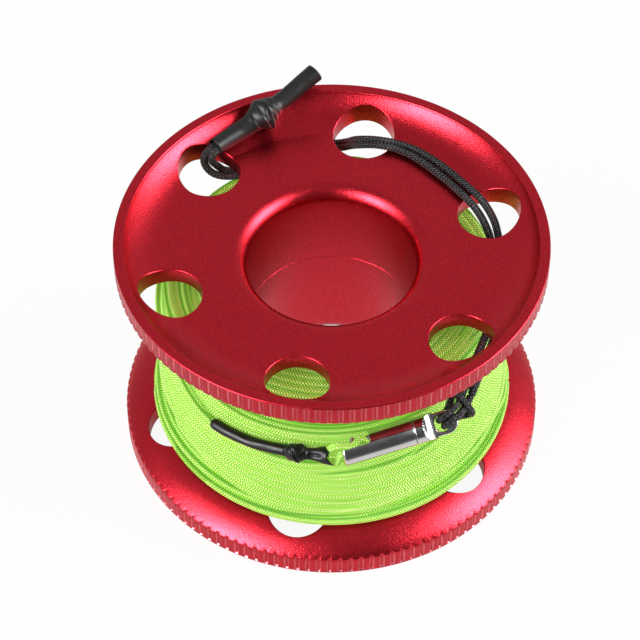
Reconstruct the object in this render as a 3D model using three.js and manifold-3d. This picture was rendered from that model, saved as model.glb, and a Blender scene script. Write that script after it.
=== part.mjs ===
// Finger spool: a dished, notched two-half aluminium spool wound with braided line, a sleeved line end
// hooked on a small spring-gated swivel clip, and a doubled cord lanyard threaded through the flange holes.
// Units are millimetres, +Z is the spool axis, and the origin is the middle of the face that it stands on.

import * as THREE from 'three';
import { mergeGeometries, mergeVertices } from 'three/addons/utils/BufferGeometryUtils.js';
import Module from 'manifold-3d';

const wasm = await Module();
wasm.setup();

// Spool body. A margin is a width measured in from the flange's edge.
const flangeDiameter = 96;
const spoolHeight = 59;
const rimHeight = 4.8;
const rimLip = 0.22;
const dishDepth = 5.2;
const dishFillet = 10;
const dishMargin = 11;
const webThickness = 3.9;
const boreDiameter = 37.6;
const boreLipRadius = 3.5;
const hubWall = 3.2;
const spigotWall = 1.5;
const hubSplitHeight = 27;
const boreSplitHeight = 32;
const halfGap = 0.1;
const flangeSegments = 50;

// Round holes and rim notches
const holeDiameter = 14;
const holeMargin = 10.9;
const holeCount = 6;
const holeStartAngle = 18.7;
const notchCount = 125;
const notchWidth = 0.7;
const notchDepth = 0.45;

// Line
const lineDiameter = 1.6;
const windingMargin = 9.1;
const windingFoot = 2.6;
const windingShoulder = 2.2;
const windingBottomGap = 0.8;
const windingTopGap = 3.55;
const windingTurnGap = 0.45;
const windingFootPower = 5;
const windingShoulderPower = 6;
const windingEndAngle = 160;
const windingSteps = 24;
const windingSides = 6;
const coreSegments = 36;
const coreBands = 6;
const coreGap = 0.4;
const restGap = 0.3;

// Line sleeve, which lies on the winding
const lineSleeveRadius = 1.25;
const lineSleeveWall = 0.3;
const lineKnotLength = 2.9;
const lineKnotRingCount = 7;

// Clip
const barrelDiameter = 6;
const barrelLength = 16;
const barrelChamfer = 0.35;
const seatDrop = 0.7;
const pegDiameter = 1.1;
const pegPlace = 2.95;
const pegHeight = 3.2;
const pegSink = 1;
const gateDiameter = 1;
const gateOffset = 1.7;
const gateTipGap = 0.15;
const gateBoreGap = 0.15;
const gateHeadLength = 1;
const chamberDiameter = 4.6;
const chamberWall = 1.8;
const clipGap = 0.15;
const springLength = 3.6;
const springWire = 0.35;
const springCoils = 3;
const springMeanDiameter = 3;
const plugLength = 2.3;
const plugRecess = 0.9;
const plugInset = 0.25;
const rivetDiameter = 1.4;
const rivetHeadDiameter = 2.7;
const rivetHeadLength = 0.6;
const neckLength = 2.45;
const neckDiameter = 5.8;
const collarDiameter = 6.5;
const collarLength = 1.5;
const tongueWidth = 5.2;
const tongueThickness = 2;
const tongueLength = 5.9;
const eyeDiameter = 3.7;
const eyePlace = 2.5;
const clipMiddle = 9.7;
const clipAzimuth = -74.2;
const clipDrop = 19.5;
const clipTilt = 7;
const barrelRoll = -74;
const eyeRoll = -50;

// Lanyard cord and its sleeve
const cordDiameter = 1.5;
const cordSides = 8;
const sleeveRadius = 1.95;
const sleeveWall = 0.3;
const lanyardKnotRingCount = 5;
const cordEndGap = 0.3;

// One overrun serves every cut, and points closer than the weld distance are one.
const overrun = 1;
const weldDistance = 0.00001;

const radians = Math.PI / 180;
const flangeRadius = flangeDiameter / 2;
const boreRadius = boreDiameter / 2;
const hubRadius = boreRadius + hubWall;
const innerFace = dishDepth + webThickness;
const floorRadius = flangeRadius - dishMargin;
const holeCircleRadius = flangeRadius - holeMargin;
const windingRadius = flangeRadius - windingMargin;

const paint = (colour, roughness, metalness) =>
  new THREE.MeshStandardMaterial({ color: colour, roughness, metalness });

const anodisedRed = () => paint(0xb3202f, 0.42, 0.75);
const lineGreen = () => paint(0xa6e84a, 0.8, 0);
const blackCord = () => paint(0x17181a, 0.85, 0);
const blackSleeve = () => paint(0x26272a, 0.55, 0);
const steel = () => paint(0xbfc1c4, 0.22, 1);

// Solids and booleans

function toSolid(geometry) {
  const bare = geometry.clone();
  bare.deleteAttribute('normal');
  bare.deleteAttribute('uv');
  const merged = mergeVertices(bare, weldDistance);
  const vertProperties = new Float32Array(merged.attributes.position.array);
  let triVerts = new Uint32Array(merged.index.array);
  if (signedVolume(vertProperties, triVerts) < 0) {
    triVerts = flipped(triVerts);
  }
  return new wasm.Manifold(new wasm.Mesh({ numProp: 3, vertProperties, triVerts }));
}

function signedVolume(points, triangles) {
  let total = 0;
  const a = new THREE.Vector3();
  const b = new THREE.Vector3();
  const c = new THREE.Vector3();
  for (let i = 0; i < triangles.length; i += 3) {
    a.fromArray(points, triangles[i] * 3);
    b.fromArray(points, triangles[i + 1] * 3);
    c.fromArray(points, triangles[i + 2] * 3);
    total += a.dot(b.cross(c));
  }
  return total;
}

function flipped(triangles) {
  const out = new Uint32Array(triangles.length);
  for (let i = 0; i < triangles.length; i += 3) {
    out[i] = triangles[i];
    out[i + 1] = triangles[i + 2];
    out[i + 2] = triangles[i + 1];
  }
  return out;
}

function toGeometry(solid) {
  const mesh = solid.getMesh();
  const geometry = new THREE.BufferGeometry();
  geometry.setAttribute('position', new THREE.BufferAttribute(new Float32Array(mesh.vertProperties), 3));
  geometry.setIndex(new THREE.BufferAttribute(new Uint32Array(mesh.triVerts), 1));
  return geometry;
}

// A ring turned about Z from a closed outline of [radius, height] pairs.
function turned(outline, segments) {
  const points = outline.map(([r, z]) => new THREE.Vector2(r, z));
  points.push(points[0].clone());
  return new THREE.LatheGeometry(points, segments).rotateX(Math.PI / 2);
}

// A round bar along Z from one height to another.
function bar(radius, from, to, segments) {
  const length = to - from;
  const geometry = new THREE.CylinderGeometry(radius, radius, length, segments);
  return geometry.rotateX(Math.PI / 2).translate(0, 0, from + length / 2);
}

// A round bar along X from one place to another, off the axis by a height.
function barAlongX(radius, from, to, segments, height = 0) {
  return bar(radius, from, to, segments).rotateY(Math.PI / 2).translate(0, 0, height);
}

function arc(centreR, centreZ, radius, fromDegrees, toDegrees, steps) {
  const points = [];
  for (let i = 0; i <= steps; i += 1) {
    const angle = (fromDegrees + ((toDegrees - fromDegrees) * i) / steps) * radians;
    points.push([centreR + radius * Math.cos(angle), centreZ + radius * Math.sin(angle)]);
  }
  return points;
}

function named(name, geometry, material) {
  const mesh = new THREE.Mesh(geometry, material);
  mesh.name = name;
  return mesh;
}

// Spool halves

// The underside of a flange, towards the line, falls from the web to the rim as one arc.
const backRun = flangeRadius - floorRadius;
const backRise = innerFace - rimHeight;
const backRadius = (backRun * backRun + backRise * backRise) / (2 * backRise);

// Outline of one flange from the bore lip round the dish and rim to the hub, with its outer face at zero.
function flangeOutline() {
  const lipCentre = boreRadius + boreLipRadius;
  const dishEnd = Math.acos((dishFillet - dishDepth + rimLip) / dishFillet) / radians;
  const rimInnerRadius = floorRadius + dishFillet * Math.sin(dishEnd * radians);
  const backEnd = Math.asin(backRun / backRadius) / radians;
  return [
    ...arc(lipCentre, dishDepth + boreLipRadius, boreLipRadius, 180, 270, 3),
    ...arc(floorRadius, dishDepth - dishFillet, dishFillet, 90, 90 - dishEnd, 4),
    [rimInnerRadius + rimLip, 0],
    [flangeRadius, 0],
    ...arc(floorRadius, innerFace - backRadius, backRadius, 90 - backEnd, 90, 3),
    [hubRadius, innerFace],
  ];
}

function notchCutters() {
  const cutters = [];
  for (let i = 0; i < notchCount; i += 1) {
    const shape = new THREE.Shape();
    const mouth = flangeRadius + notchDepth;
    shape.moveTo(flangeRadius - notchDepth, 0);
    shape.lineTo(mouth, -notchWidth);
    shape.lineTo(mouth, notchWidth);
    shape.closePath();
    const depth = innerFace + 2 * overrun;
    const cutter = new THREE.ExtrudeGeometry(shape, { depth, bevelEnabled: false, steps: 1 });
    cutter.translate(0, 0, -overrun);
    cutter.rotateZ(((i + 0.5) / notchCount) * 2 * Math.PI);
    cutters.push(cutter);
  }
  return mergeGeometries(cutters);
}

function holeCutters() {
  const cutters = [];
  for (let i = 0; i < holeCount; i += 1) {
    const angle = (holeStartAngle + (i * 360) / holeCount) * radians;
    const cutter = bar(holeDiameter / 2, -overrun, innerFace + overrun, 24);
    cutter.translate(holeCircleRadius * Math.cos(angle), holeCircleRadius * Math.sin(angle), 0);
    cutters.push(cutter);
  }
  return mergeGeometries(cutters);
}

function drilled(geometry, flip) {
  const cuts = toSolid(mergeGeometries([plain(notchCutters()), plain(holeCutters())]));
  const placed = flip ? cuts.mirror([0, 0, 1]).translate([0, 0, spoolHeight]) : cuts;
  return toGeometry(toSolid(geometry).subtract(placed));
}

function plain(geometry) {
  const bare = geometry.index ? geometry.toNonIndexed() : geometry;
  bare.deleteAttribute('normal');
  bare.deleteAttribute('uv');
  return bare;
}

// The lower half carries the spigot that lines the bore above the hub split.
function lowerHalf() {
  const spigotRadius = boreRadius + spigotWall;
  const outline = [
    ...flangeOutline(),
    [hubRadius, hubSplitHeight],
    [spigotRadius, hubSplitHeight],
    [spigotRadius, boreSplitHeight],
    [boreRadius, boreSplitHeight],
  ];
  return named('lower_spool_half', drilled(turned(outline, flangeSegments), false), anodisedRed());
}

// The upper half is the same flange turned over, with a socket that takes the spigot.
function upperHalf() {
  const socketRadius = boreRadius + spigotWall + halfGap;
  const outline = [
    ...flangeOutline().map(([r, z]) => [r, spoolHeight - z]),
    [hubRadius, hubSplitHeight + halfGap],
    [socketRadius, hubSplitHeight + halfGap],
    [socketRadius, boreSplitHeight + halfGap],
    [boreRadius, boreSplitHeight + halfGap],
  ];
  return named('upper_spool_half', drilled(turned(outline, flangeSegments), true), anodisedRed());
}

// Winding

const windingBottom = innerFace + windingBottomGap + lineDiameter / 2;
const windingTop = spoolHeight - innerFace - windingTopGap - lineDiameter / 2;
const windingTurns = Math.min(24, Math.round((windingTop - windingBottom) / (lineDiameter + windingTurnGap)));
const windingPitch = (windingTop - windingBottom) / windingTurns;

// Outer radius of the wound line at a share of its height: it spreads at the foot and rounds in at the top.
function woundRadius(heightShare) {
  const foot = windingFoot * (1 - heightShare) ** windingFootPower;
  const shoulder = windingShoulder * heightShare ** windingShoulderPower;
  return windingRadius + foot - shoulder;
}

// Rings of a round section carried along a list of points, closed by a cap at each end.
function tubeAlong(points, radii, sides, firstSide) {
  const frames = sectionFrames(points, firstSide);
  const positions = [];
  for (let i = 0; i < points.length; i += 1) {
    for (let k = 0; k < sides; k += 1) {
      const angle = (2 * Math.PI * k) / sides;
      const spoke = frames[i].side.clone().multiplyScalar(Math.cos(angle));
      spoke.addScaledVector(frames[i].up, Math.sin(angle));
      positions.push(...points[i].clone().addScaledVector(spoke, radii[i]).toArray());
    }
  }
  const index = [];
  for (let i = 0; i + 1 < points.length; i += 1) {
    for (let k = 0; k < sides; k += 1) {
      const a = i * sides + k;
      const b = i * sides + ((k + 1) % sides);
      index.push(a, b, b + sides, a, b + sides, a + sides);
    }
  }
  const last = (points.length - 1) * sides;
  for (let k = 1; k + 1 < sides; k += 1) {
    index.push(0, k + 1, k, last, last + k, last + k + 1);
  }
  return indexed(positions, index);
}

function indexed(positions, index) {
  const geometry = new THREE.BufferGeometry();
  geometry.setAttribute('position', new THREE.Float32BufferAttribute(positions, 3));
  geometry.setIndex(index);
  return geometry;
}

// Each section faces the half-way direction of its two neighbours, and its side turns as little as it can.
function sectionFrames(points, firstSide) {
  const frames = [];
  let side = firstSide.clone();
  for (let i = 0; i < points.length; i += 1) {
    const before = points[Math.max(i - 1, 0)];
    const after = points[Math.min(i + 1, points.length - 1)];
    const along = after.clone().sub(before).normalize();
    side = side.addScaledVector(along, -side.dot(along)).normalize();
    frames.push({ along, side: side.clone(), up: new THREE.Vector3().crossVectors(along, side) });
  }
  return frames;
}

// Centre points of the outer layer, a climbing spiral with one straight diameter at each end.
function windingPoints() {
  const points = [];
  const count = windingTurns * windingSteps;
  for (let i = 0; i <= count; i += 1) {
    const share = i / count;
    const angle = windingEndAngle * radians + ((i - count) / windingSteps) * 2 * Math.PI;
    const radius = woundRadius(share) - lineDiameter / 2;
    const z = windingBottom + share * windingTurns * windingPitch;
    points.push(new THREE.Vector3(radius * Math.cos(angle), radius * Math.sin(angle), z));
  }
  const tail = tangentAt(points[0], -1);
  const head = tangentAt(points[count], 1);
  return [tail, ...points, head];
}

// A point one line diameter further along the tangent of the circle through a wound point.
function tangentAt(point, way) {
  const radius = Math.hypot(point.x, point.y);
  const along = new THREE.Vector3(-point.y / radius, point.x / radius, 0);
  return point.clone().addScaledVector(along, way * lineDiameter);
}

const windingCentres = windingPoints();

// Least clear gap between points of the winding that are at least half a turn apart.
function leastGap(points, diameter, apart) {
  let least = Infinity;
  for (let i = 0; i < points.length; i += 1) {
    for (let j = i + apart; j < points.length; j += 1) {
      least = Math.min(least, points[i].distanceTo(points[j]));
    }
  }
  return least - diameter;
}

console.log('winding least gap mm', leastGap(windingCentres, lineDiameter, windingSteps / 2).toFixed(3));

function outerLayer() {
  const radii = windingCentres.map(() => lineDiameter / 2);
  const firstSide = new THREE.Vector3(0, 0, 1);
  const geometry = tubeAlong(windingCentres, radii, windingSides, firstSide);
  return named('line_outer_layer', geometry, lineGreen());
}

// The layers below, a plain ring that follows the outer layer on its inner side. The flats of the wound
// tube come nearer to the axis than its corners, so the ring lies inside the circle of their middles.
function lineCore() {
  const flatShare = Math.cos(Math.PI / windingSteps);
  const wound = windingTurns * windingPitch;
  const outline = [];
  for (let i = 0; i <= coreBands; i += 1) {
    const share = i / coreBands;
    const radius = (woundRadius(share) - lineDiameter / 2) * flatShare - lineDiameter / 2 - coreGap;
    outline.push([radius, windingBottom - lineDiameter / 2 + share * (wound + lineDiameter)]);
  }
  outline.push([hubRadius + restGap, outline[coreBands][1]]);
  outline.push([hubRadius + restGap, outline[0][1]]);
  return named('line_core', turned(outline, coreSegments), lineGreen());
}

// Line end: its sleeve, the knot inside it, the lead from the winding and the loop on the clip

const v = (x, y, z) => new THREE.Vector3(x, y, z);

// Cord routes keep their places by the upper rim. Each point is an angle round the axis, a distance in from
// the flange's edge and a distance down from the spool's top.
const fromRim = (points) =>
  points.map(([angle, inward, down]) => {
    const radius = flangeRadius - inward;
    return v(radius * Math.cos(angle * radians), radius * Math.sin(angle * radians), spoolHeight - down);
  });

// Axis of the line sleeve, from its closed left end to the flared mouth by the clip.
const lineSleeveRoute = fromRim([
  [-130.77, 7.73, 26.4], [-125.31, 7.68, 26.3], [-119.55, 7.65, 26.1], [-114.09, 7.58, 25.9],
  [-109.06, 7.58, 25.6], [-104.31, 7.54, 25.3], [-102.67, 7.41, 25.2], [-100.78, 7.38, 25.1],
  [-98.93, 7.41, 25.1], [-97.37, 7.47, 25.2], [-94.67, 7.47, 25.2], [-92.96, 7.35, 25.1],
  [-91.26, 7.19, 25.1],
]);
const lineSleeveShares = [1, 1, 1, 1, 1, 1.05, 1.35, 1.6, 1.35, 1.05, 1.2, 1.68, 1.72];

// The lead crosses the wound turns from the end of the outer layer to the closed end of the sleeve.
const leadRoute = fromRim([
  [163.38, 12, 13.4], [168.01, 11.4, 12.8], [174.05, 10.4, 12.9], [-178.96, 9.59, 13.7],
  [-171.02, 8.92, 15.1], [-162.02, 8.47, 17], [-152.98, 8.15, 19.2], [-144.93, 7.8, 21.7],
  [-139.92, 7.62, 23.6], [-135, 7.55, 25.3], [-131.48, 7.69, 26.3],
]);

// A cord of one diameter along a smooth curve through hand-chosen points.
function cord(name, route, diameter, steps, material) {
  const shape = new THREE.Shape();
  for (let k = 0; k < cordSides; k += 1) {
    const angle = (2 * Math.PI * k) / cordSides;
    const x = (diameter / 2) * Math.cos(angle);
    const y = (diameter / 2) * Math.sin(angle);
    if (k === 0) {
      shape.moveTo(x, y);
    } else {
      shape.lineTo(x, y);
    }
  }
  const extrudePath = new THREE.CatmullRomCurve3(route, false, 'centripetal');
  const geometry = new THREE.ExtrudeGeometry(shape, { steps, extrudePath, bevelEnabled: false });
  return named(name, geometry, material);
}

// A shrunk tube with a bore: outer and inner skins joined by a ring at each end, or closed at the first end.
function sleeve(name, route, outerRadii, wall, sides, closedStart, material) {
  const up = v(0, 0, 1);
  const inner = route.map((point) => point.clone());
  const innerRadii = outerRadii.map((radius) => radius - wall);
  const before = route[0].clone().sub(route[1]).normalize();
  if (closedStart) {
    inner[0] = route[0].clone().addScaledVector(before, -wall * 2);
  } else {
    inner[0] = route[0].clone().addScaledVector(before, overrun);
  }
  const last = route.length - 1;
  const after = route[last].clone().sub(route[last - 1]).normalize();
  inner[last] = route[last].clone().addScaledVector(after, overrun);
  const skin = toSolid(tubeAlong(route, outerRadii, sides, up));
  const hollow = toSolid(tubeAlong(inner, innerRadii, sides, up));
  return named(name, toGeometry(skin.subtract(hollow)), material);
}

function lineSleeve() {
  const radii = lineSleeveShares.map((share) => share * lineSleeveRadius);
  return sleeve('line_end_sleeve', lineSleeveRoute, radii, lineSleeveWall, 10, true, blackSleeve());
}

// The knot that ties the loop is a lump inside the swelling of the sleeve.
function lineKnot() {
  const radius = lineSleeveRadius * lineSleeveShares[lineKnotRingCount] - lineSleeveWall - restGap / 2;
  const geometry = new THREE.SphereGeometry(1, 12, 8).scale(lineKnotLength / 2, radius, radius);
  const ahead = lineSleeveRoute[lineKnotRingCount + 1];
  const along = ahead.clone().sub(lineSleeveRoute[lineKnotRingCount - 1]).normalize();
  geometry.applyQuaternion(new THREE.Quaternion().setFromUnitVectors(v(1, 0, 0), along));
  const centre = lineSleeveRoute[lineKnotRingCount];
  geometry.translate(centre.x, centre.y, centre.z);
  return named('line_loop_knot', geometry, lineGreen());
}

// Clip, in its own frame: X runs from the seat end to the eye, Z is the open side of the seat

const barrelRadius = barrelDiameter / 2;
const chamberRadius = chamberDiameter / 2;
const gateRadius = gateDiameter / 2;
const plugEnd = barrelLength - plugInset;
const plugStart = plugEnd - plugLength;
const springStart = plugStart - clipGap - springLength;
const chamberStart = springStart - clipGap - gateHeadLength - clipGap;
const seatLength = chamberStart - chamberWall;
const neckStart = barrelLength + clipGap;
const collarStart = neckStart + neckLength;
const tongueStart = collarStart + collarLength;
const tongueEnd = tongueStart + tongueLength;
const eyeCentre = tongueStart + eyePlace;
const rivetStart = plugStart + clipGap;
const rivetEnd = neckStart + neckLength - clipGap;

function barrel() {
  const outline = [
    [0, 0],
    [barrelRadius - barrelChamfer, 0],
    [barrelRadius, barrelChamfer],
    [barrelRadius, barrelLength],
    [0, barrelLength],
  ];
  const points = outline.map(([r, x]) => new THREE.Vector2(r, x));
  const body = toSolid(new THREE.LatheGeometry(points, 32).rotateZ(-Math.PI / 2));
  const seat = new THREE.BoxGeometry(seatLength + overrun, barrelDiameter, barrelDiameter);
  seat.translate((seatLength - overrun) / 2, 0, barrelRadius - seatDrop);
  const chamber = barAlongX(chamberRadius, chamberStart, barrelLength + overrun, 24);
  const gateBoreRadius = gateRadius + gateBoreGap;
  const gateBore = barAlongX(gateBoreRadius, seatLength - overrun, chamberStart + overrun, 12, gateOffset);
  const pegHole = bar(pegDiameter / 2 + gateBoreGap, -seatDrop - pegSink, overrun, 12);
  pegHole.translate(pegPlace, 0, 0);
  const cut = body.subtract(toSolid(seat)).subtract(toSolid(chamber));
  return named('clip_barrel', toGeometry(cut.subtract(toSolid(gateBore)).subtract(toSolid(pegHole))), steel());
}

function peg() {
  const foot = -seatDrop - pegSink + clipGap;
  const geometry = bar(pegDiameter / 2, foot, pegHeight - seatDrop, 12).translate(pegPlace, 0, 0);
  return named('loop_peg', geometry, steel());
}

function gatePin() {
  const tip = pegPlace + pegDiameter / 2 + gateTipGap;
  const head = chamberStart + clipGap;
  const pin = toSolid(barAlongX(gateRadius, tip, head + gateHeadLength / 2, 12, gateOffset));
  const piston = toSolid(barAlongX(chamberRadius - clipGap, head, head + gateHeadLength, 24));
  return named('gate_pin', toGeometry(pin.add(piston)), steel());
}

function gateSpring() {
  const steps = springCoils * 8;
  const points = [];
  for (let i = 0; i <= steps; i += 1) {
    const angle = (i / 8) * 2 * Math.PI;
    const x = springStart + springWire / 2 + ((springLength - springWire) * i) / steps;
    const radius = springMeanDiameter / 2;
    points.push(v(x, radius * Math.cos(angle), radius * Math.sin(angle)));
  }
  console.log('spring least gap mm', leastGap(points, springWire, 6).toFixed(3));
  return named('gate_spring', tubeAlong(points, points.map(() => springWire / 2), 5, v(1, 0, 0)), steel());
}

function endPlug() {
  const radius = chamberRadius - clipGap;
  const shank = rivetDiameter / 2 + clipGap;
  const recess = rivetHeadDiameter / 2 + clipGap;
  const outline = [
    [recess, plugStart],
    [radius, plugStart],
    [radius, plugEnd],
    [shank, plugEnd],
    [shank, plugStart + plugRecess],
    [recess, plugStart + plugRecess],
  ];
  return named('barrel_end_plug', turned(outline, 24).rotateY(Math.PI / 2), steel());
}

function rivet() {
  const outline = [
    [0, rivetStart],
    [rivetHeadDiameter / 2, rivetStart],
    [rivetHeadDiameter / 2, rivetStart + rivetHeadLength],
    [rivetDiameter / 2, rivetStart + rivetHeadLength],
    [rivetDiameter / 2, rivetEnd],
    [0, rivetEnd],
  ];
  const points = outline.map(([r, x]) => new THREE.Vector2(r, x));
  return named('swivel_rivet', new THREE.LatheGeometry(points, 16).rotateZ(-Math.PI / 2), steel());
}

// Neck, collar and a flat tongue with a round end and the eye through it, all one piece.
function swivelEye() {
  const neck = toSolid(barAlongX(neckDiameter / 2, neckStart, collarStart + clipGap, 32));
  const collar = toSolid(barAlongX(collarDiameter / 2, collarStart, tongueStart, 32));
  const half = tongueWidth / 2;
  const shape = new THREE.Shape();
  shape.moveTo(tongueStart - clipGap, -half);
  shape.lineTo(tongueEnd - half, -half);
  shape.absarc(tongueEnd - half, 0, half, -Math.PI / 2, Math.PI / 2, false);
  shape.lineTo(tongueStart - clipGap, half);
  shape.closePath();
  const options = { depth: tongueThickness, bevelEnabled: false, curveSegments: 12 };
  const plate = new THREE.ExtrudeGeometry(shape, options);
  plate.translate(0, 0, -tongueThickness / 2).rotateX(Math.PI / 2);
  const eye = bar(eyeDiameter / 2, -tongueThickness, tongueThickness, 20);
  eye.rotateX(Math.PI / 2).translate(eyeCentre, 0, 0);
  const socket = barAlongX(rivetDiameter / 2 + clipGap, neckStart - overrun, rivetEnd + clipGap, 16);
  const body = neck.add(collar).add(toSolid(plate)).subtract(toSolid(eye)).subtract(toSolid(socket));
  return named('swivel_eye', toGeometry(body), steel());
}

// The clip lies against the winding: its collar rests one clearance off the line.
const clipSeatRadius = windingRadius + restGap + collarDiameter / 2;

function clipFrame(roll) {
  const yaw = new THREE.Group();
  const tilt = new THREE.Group();
  const turn = new THREE.Group();
  const azimuth = clipAzimuth * radians;
  const height = spoolHeight - clipDrop;
  yaw.position.set(clipSeatRadius * Math.cos(azimuth), clipSeatRadius * Math.sin(azimuth), height);
  yaw.rotation.z = azimuth + Math.PI / 2;
  tilt.rotation.y = -clipTilt * radians;
  turn.rotation.x = roll * radians;
  turn.position.x = -clipMiddle;
  yaw.add(tilt);
  tilt.add(turn);
  yaw.updateMatrixWorld(true);
  return { root: yaw, inner: turn };
}

const barrelFrame = clipFrame(barrelRoll);
const eyeFrame = clipFrame(eyeRoll);
const inBarrel = (x, y, z) => v(x, y, z).applyMatrix4(barrelFrame.inner.matrixWorld);
const inEye = (x, y, z) => v(x, y, z).applyMatrix4(eyeFrame.inner.matrixWorld);

// The loop's upper strand runs along the open seat and passes round the peg. Its lower strand comes back on the
// hidden side of the seat and turns down past the barrel's end into the sleeve.
const loopRoute = [
  ...fromRim([[-91.97, 7.18, 24.35], [-90.7, 7, 24.3], [-89.65, 6.45, 22.6], [-89.05, 5.9, 20.6]]),
  inBarrel(-0.3, -1.5, 1.2), inBarrel(1.4, -1.68, 0.8), inBarrel(3.2, -1.75, 0.35), inBarrel(4.5, -1.15, 0.25),
  inBarrel(5.0, 0, 0.25), inBarrel(4.5, 1.15, 0.25), inBarrel(3.2, 1.75, 0.25), inBarrel(1.4, 1.75, 0.25),
  inBarrel(-0.2, 1.85, 0.35),
  ...fromRim([[-88.3, 5.9, 24.1], [-88.95, 6.45, 25.7], [-90.5, 7.05, 26.05], [-91.97, 7.18, 25.9]]),
];

// The lanyard's hitch in the eye: each strand goes through the eye, and their bight passes round both.
// Its points are given along the pull, across it and out from the tongue's face towards the open side.
const hitchAlong = v(0.907, 0, 0.42);
const hitchAcross = v(-0.42, 0, 0.907);
const hitchLeanStart = 3.6;
const hitchLeanShare = 1.1;

function hitchPoint(along, across, out) {
  const lean = hitchLeanShare * Math.max(0, along - hitchLeanStart);
  const point = v(eyeCentre, lean - out, 0).addScaledVector(hitchAlong, along);
  point.addScaledVector(hitchAcross, across);
  return inEye(point.x, point.y, point.z);
}

const hitchHalf = [
  [5.6, 0.85, 1.9], [4.0, 0.85, 2.1], [2.4, 0.85, 2.1], [1.2, 0.84, 1.85], [0.3, 0.8, 1.1],
  [0, 0.8, 0], [0.3, 0.8, -1.1], [1.2, 0.86, -1.9], [2.6, 1.1, -2.2], [4.0, 1.7, -2.0],
  [5.2, 2.4, -1.2], [6.0, 2.8, 0.5], [6.4, 2.3, 2.9],
];
const hitchMiddle = [6.5, 0, 3.6];
const hitchRoute = [
  ...fromRim([[-46.83, 5.91, 14.8], [-48.71, 5.41, 15.7]]),
  ...hitchHalf.map(([along, across, out]) => hitchPoint(along, across, out)),
  hitchPoint(...hitchMiddle),
  ...hitchHalf.map(([along, across, out]) => hitchPoint(along, -across, out)).reverse(),
  ...fromRim([[-48.31, 3.94, 16.7], [-46.39, 4.36, 15.9]]),
];

// Lanyard sleeve from its mouth above a hole, over the dish and rim, to the cut end past the edge.
const sleeveRoute = fromRim([
  [131.55, 8.05, 2.2], [127.5, 7.92, 2.1], [121.96, 7.57, 1.9], [117.82, 7.29, 1.3],
  [115.07, 6.93, 0.7], [112.37, 6.48, 0.3], [109.33, 5.72, -0.1], [106.96, 5.14, -0.5],
  [104.04, 4.3, -1.2], [99.19, 2.31, -2.6], [94.8, 0.23, -4],
]);
const sleeveShares = [1.1, 1.05, 1.05, 1.25, 1.5, 1.52, 1.35, 1.12, 1, 0.98, 1.02];

function lanyardSleeve() {
  const radii = sleeveShares.map((share) => share * sleeveRadius);
  return sleeve('lanyard_sleeve', sleeveRoute, radii, sleeveWall, 12, false, blackSleeve());
}

// The stopper knot fills the swelling, and the two cut tails run on from it inside the sleeve.
function lanyardKnot() {
  const radius = sleeveRadius * sleeveShares[lanyardKnotRingCount] - sleeveWall - restGap;
  const ahead = sleeveRoute[lanyardKnotRingCount + 1];
  const along = ahead.clone().sub(sleeveRoute[lanyardKnotRingCount - 1]).normalize();
  const knot = new THREE.SphereGeometry(1, 14, 10).scale(radius, radius, radius);
  knot.applyQuaternion(new THREE.Quaternion().setFromUnitVectors(v(1, 0, 0), along));
  const centre = sleeveRoute[lanyardKnotRingCount];
  knot.translate(centre.x, centre.y, centre.z);
  return named('lanyard_knot', knot, blackCord());
}

// The two strands of the lanyard, side by side, from the knot down through one hole, under the web, up
// through the next, over the dish, down through the third and along under the web to the hitch.
const strandRouteA = fromRim([
  [116.14, 6.23, 1], [122.18, 6.88, 1.8], [127.74, 7.16, 2.3], [132.71, 7.31, 2.7], [134.8, 6.99, 4.1],
  [135.2, 6.85, 5.7], [135, 7.13, 7.3], [134.29, 7.9, 8.8], [133.13, 8.95, 9.8], [131.46, 10.24, 10.2],
  [128.39, 11.77, 10.3], [121.3, 13.36, 10.3], [111.52, 13.92, 10.3], [101.6, 13.19, 10.3],
  [93.94, 11.61, 10.3], [88.76, 10.89, 10.1], [84.98, 11.46, 8.8], [81.89, 12.55, 7],
  [77.74, 13.62, 5.3], [73.27, 13.96, 4.3], [69.23, 13.88, 4], [65.29, 13.55, 4.1], [57.75, 13.71, 4.1],
  [48.13, 14.29, 4.1], [37.62, 14.42, 4.1], [30.5, 14.11, 4.1], [24.72, 13.32, 4.7], [20.63, 12.52, 6],
  [17.38, 11.85, 7.7], [14.26, 11.47, 9.2], [11.06, 11.52, 10.1], [6.99, 11.83, 10.3],
  [-1.91, 12.08, 10.4], [-11.77, 11.74, 10.4], [-20.77, 10.78, 10.4], [-28.63, 9.6, 10.4],
  [-36.06, 8.42, 10.5], [-40.6, 7.43, 11], [-43.43, 6.83, 12.3], [-46.35, 5.99, 14.6],
]);
const strandRouteB = fromRim([
  [115.41, 7.92, 1], [121.68, 8.4, 1.8], [127.34, 8.76, 2.3], [132.72, 8.94, 2.6], [133.87, 8.61, 4.1],
  [133.67, 8.32, 5.6], [132.66, 8.16, 7], [131.32, 8.32, 8.4], [129.9, 9.03, 9.7], [127.95, 9.95, 10.2],
  [124.42, 11.03, 10.3], [117.28, 12, 10.3], [108.69, 12.11, 10.3], [100.12, 11.02, 10.3],
  [93.27, 9.44, 10.3], [88.23, 9.08, 10.1], [84.9, 9.75, 8.8], [82.28, 10.76, 7], [78.35, 11.86, 5.3],
  [74.05, 12.33, 4.3], [70.2, 12.29, 4], [66.49, 11.9, 4.1], [59.2, 11.68, 4.1], [50.84, 11.89, 4.1],
  [41.5, 12.08, 4.1], [31.94, 11.71, 4.1], [25.8, 11.01, 4.4], [21.12, 10.26, 5.6], [17.49, 9.73, 7.2],
  [14.47, 9.58, 8.9], [11.43, 9.64, 10], [7.55, 9.97, 10.3], [-1.52, 10.29, 10.4], [-11.37, 9.95, 10.4],
  [-20.38, 8.95, 10.4], [-28.16, 7.74, 10.4], [-35.18, 6.52, 10.5], [-39.63, 5.67, 11.1],
  [-42.93, 4.98, 13.2], [-45.93, 4.44, 15.7],
]);

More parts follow.
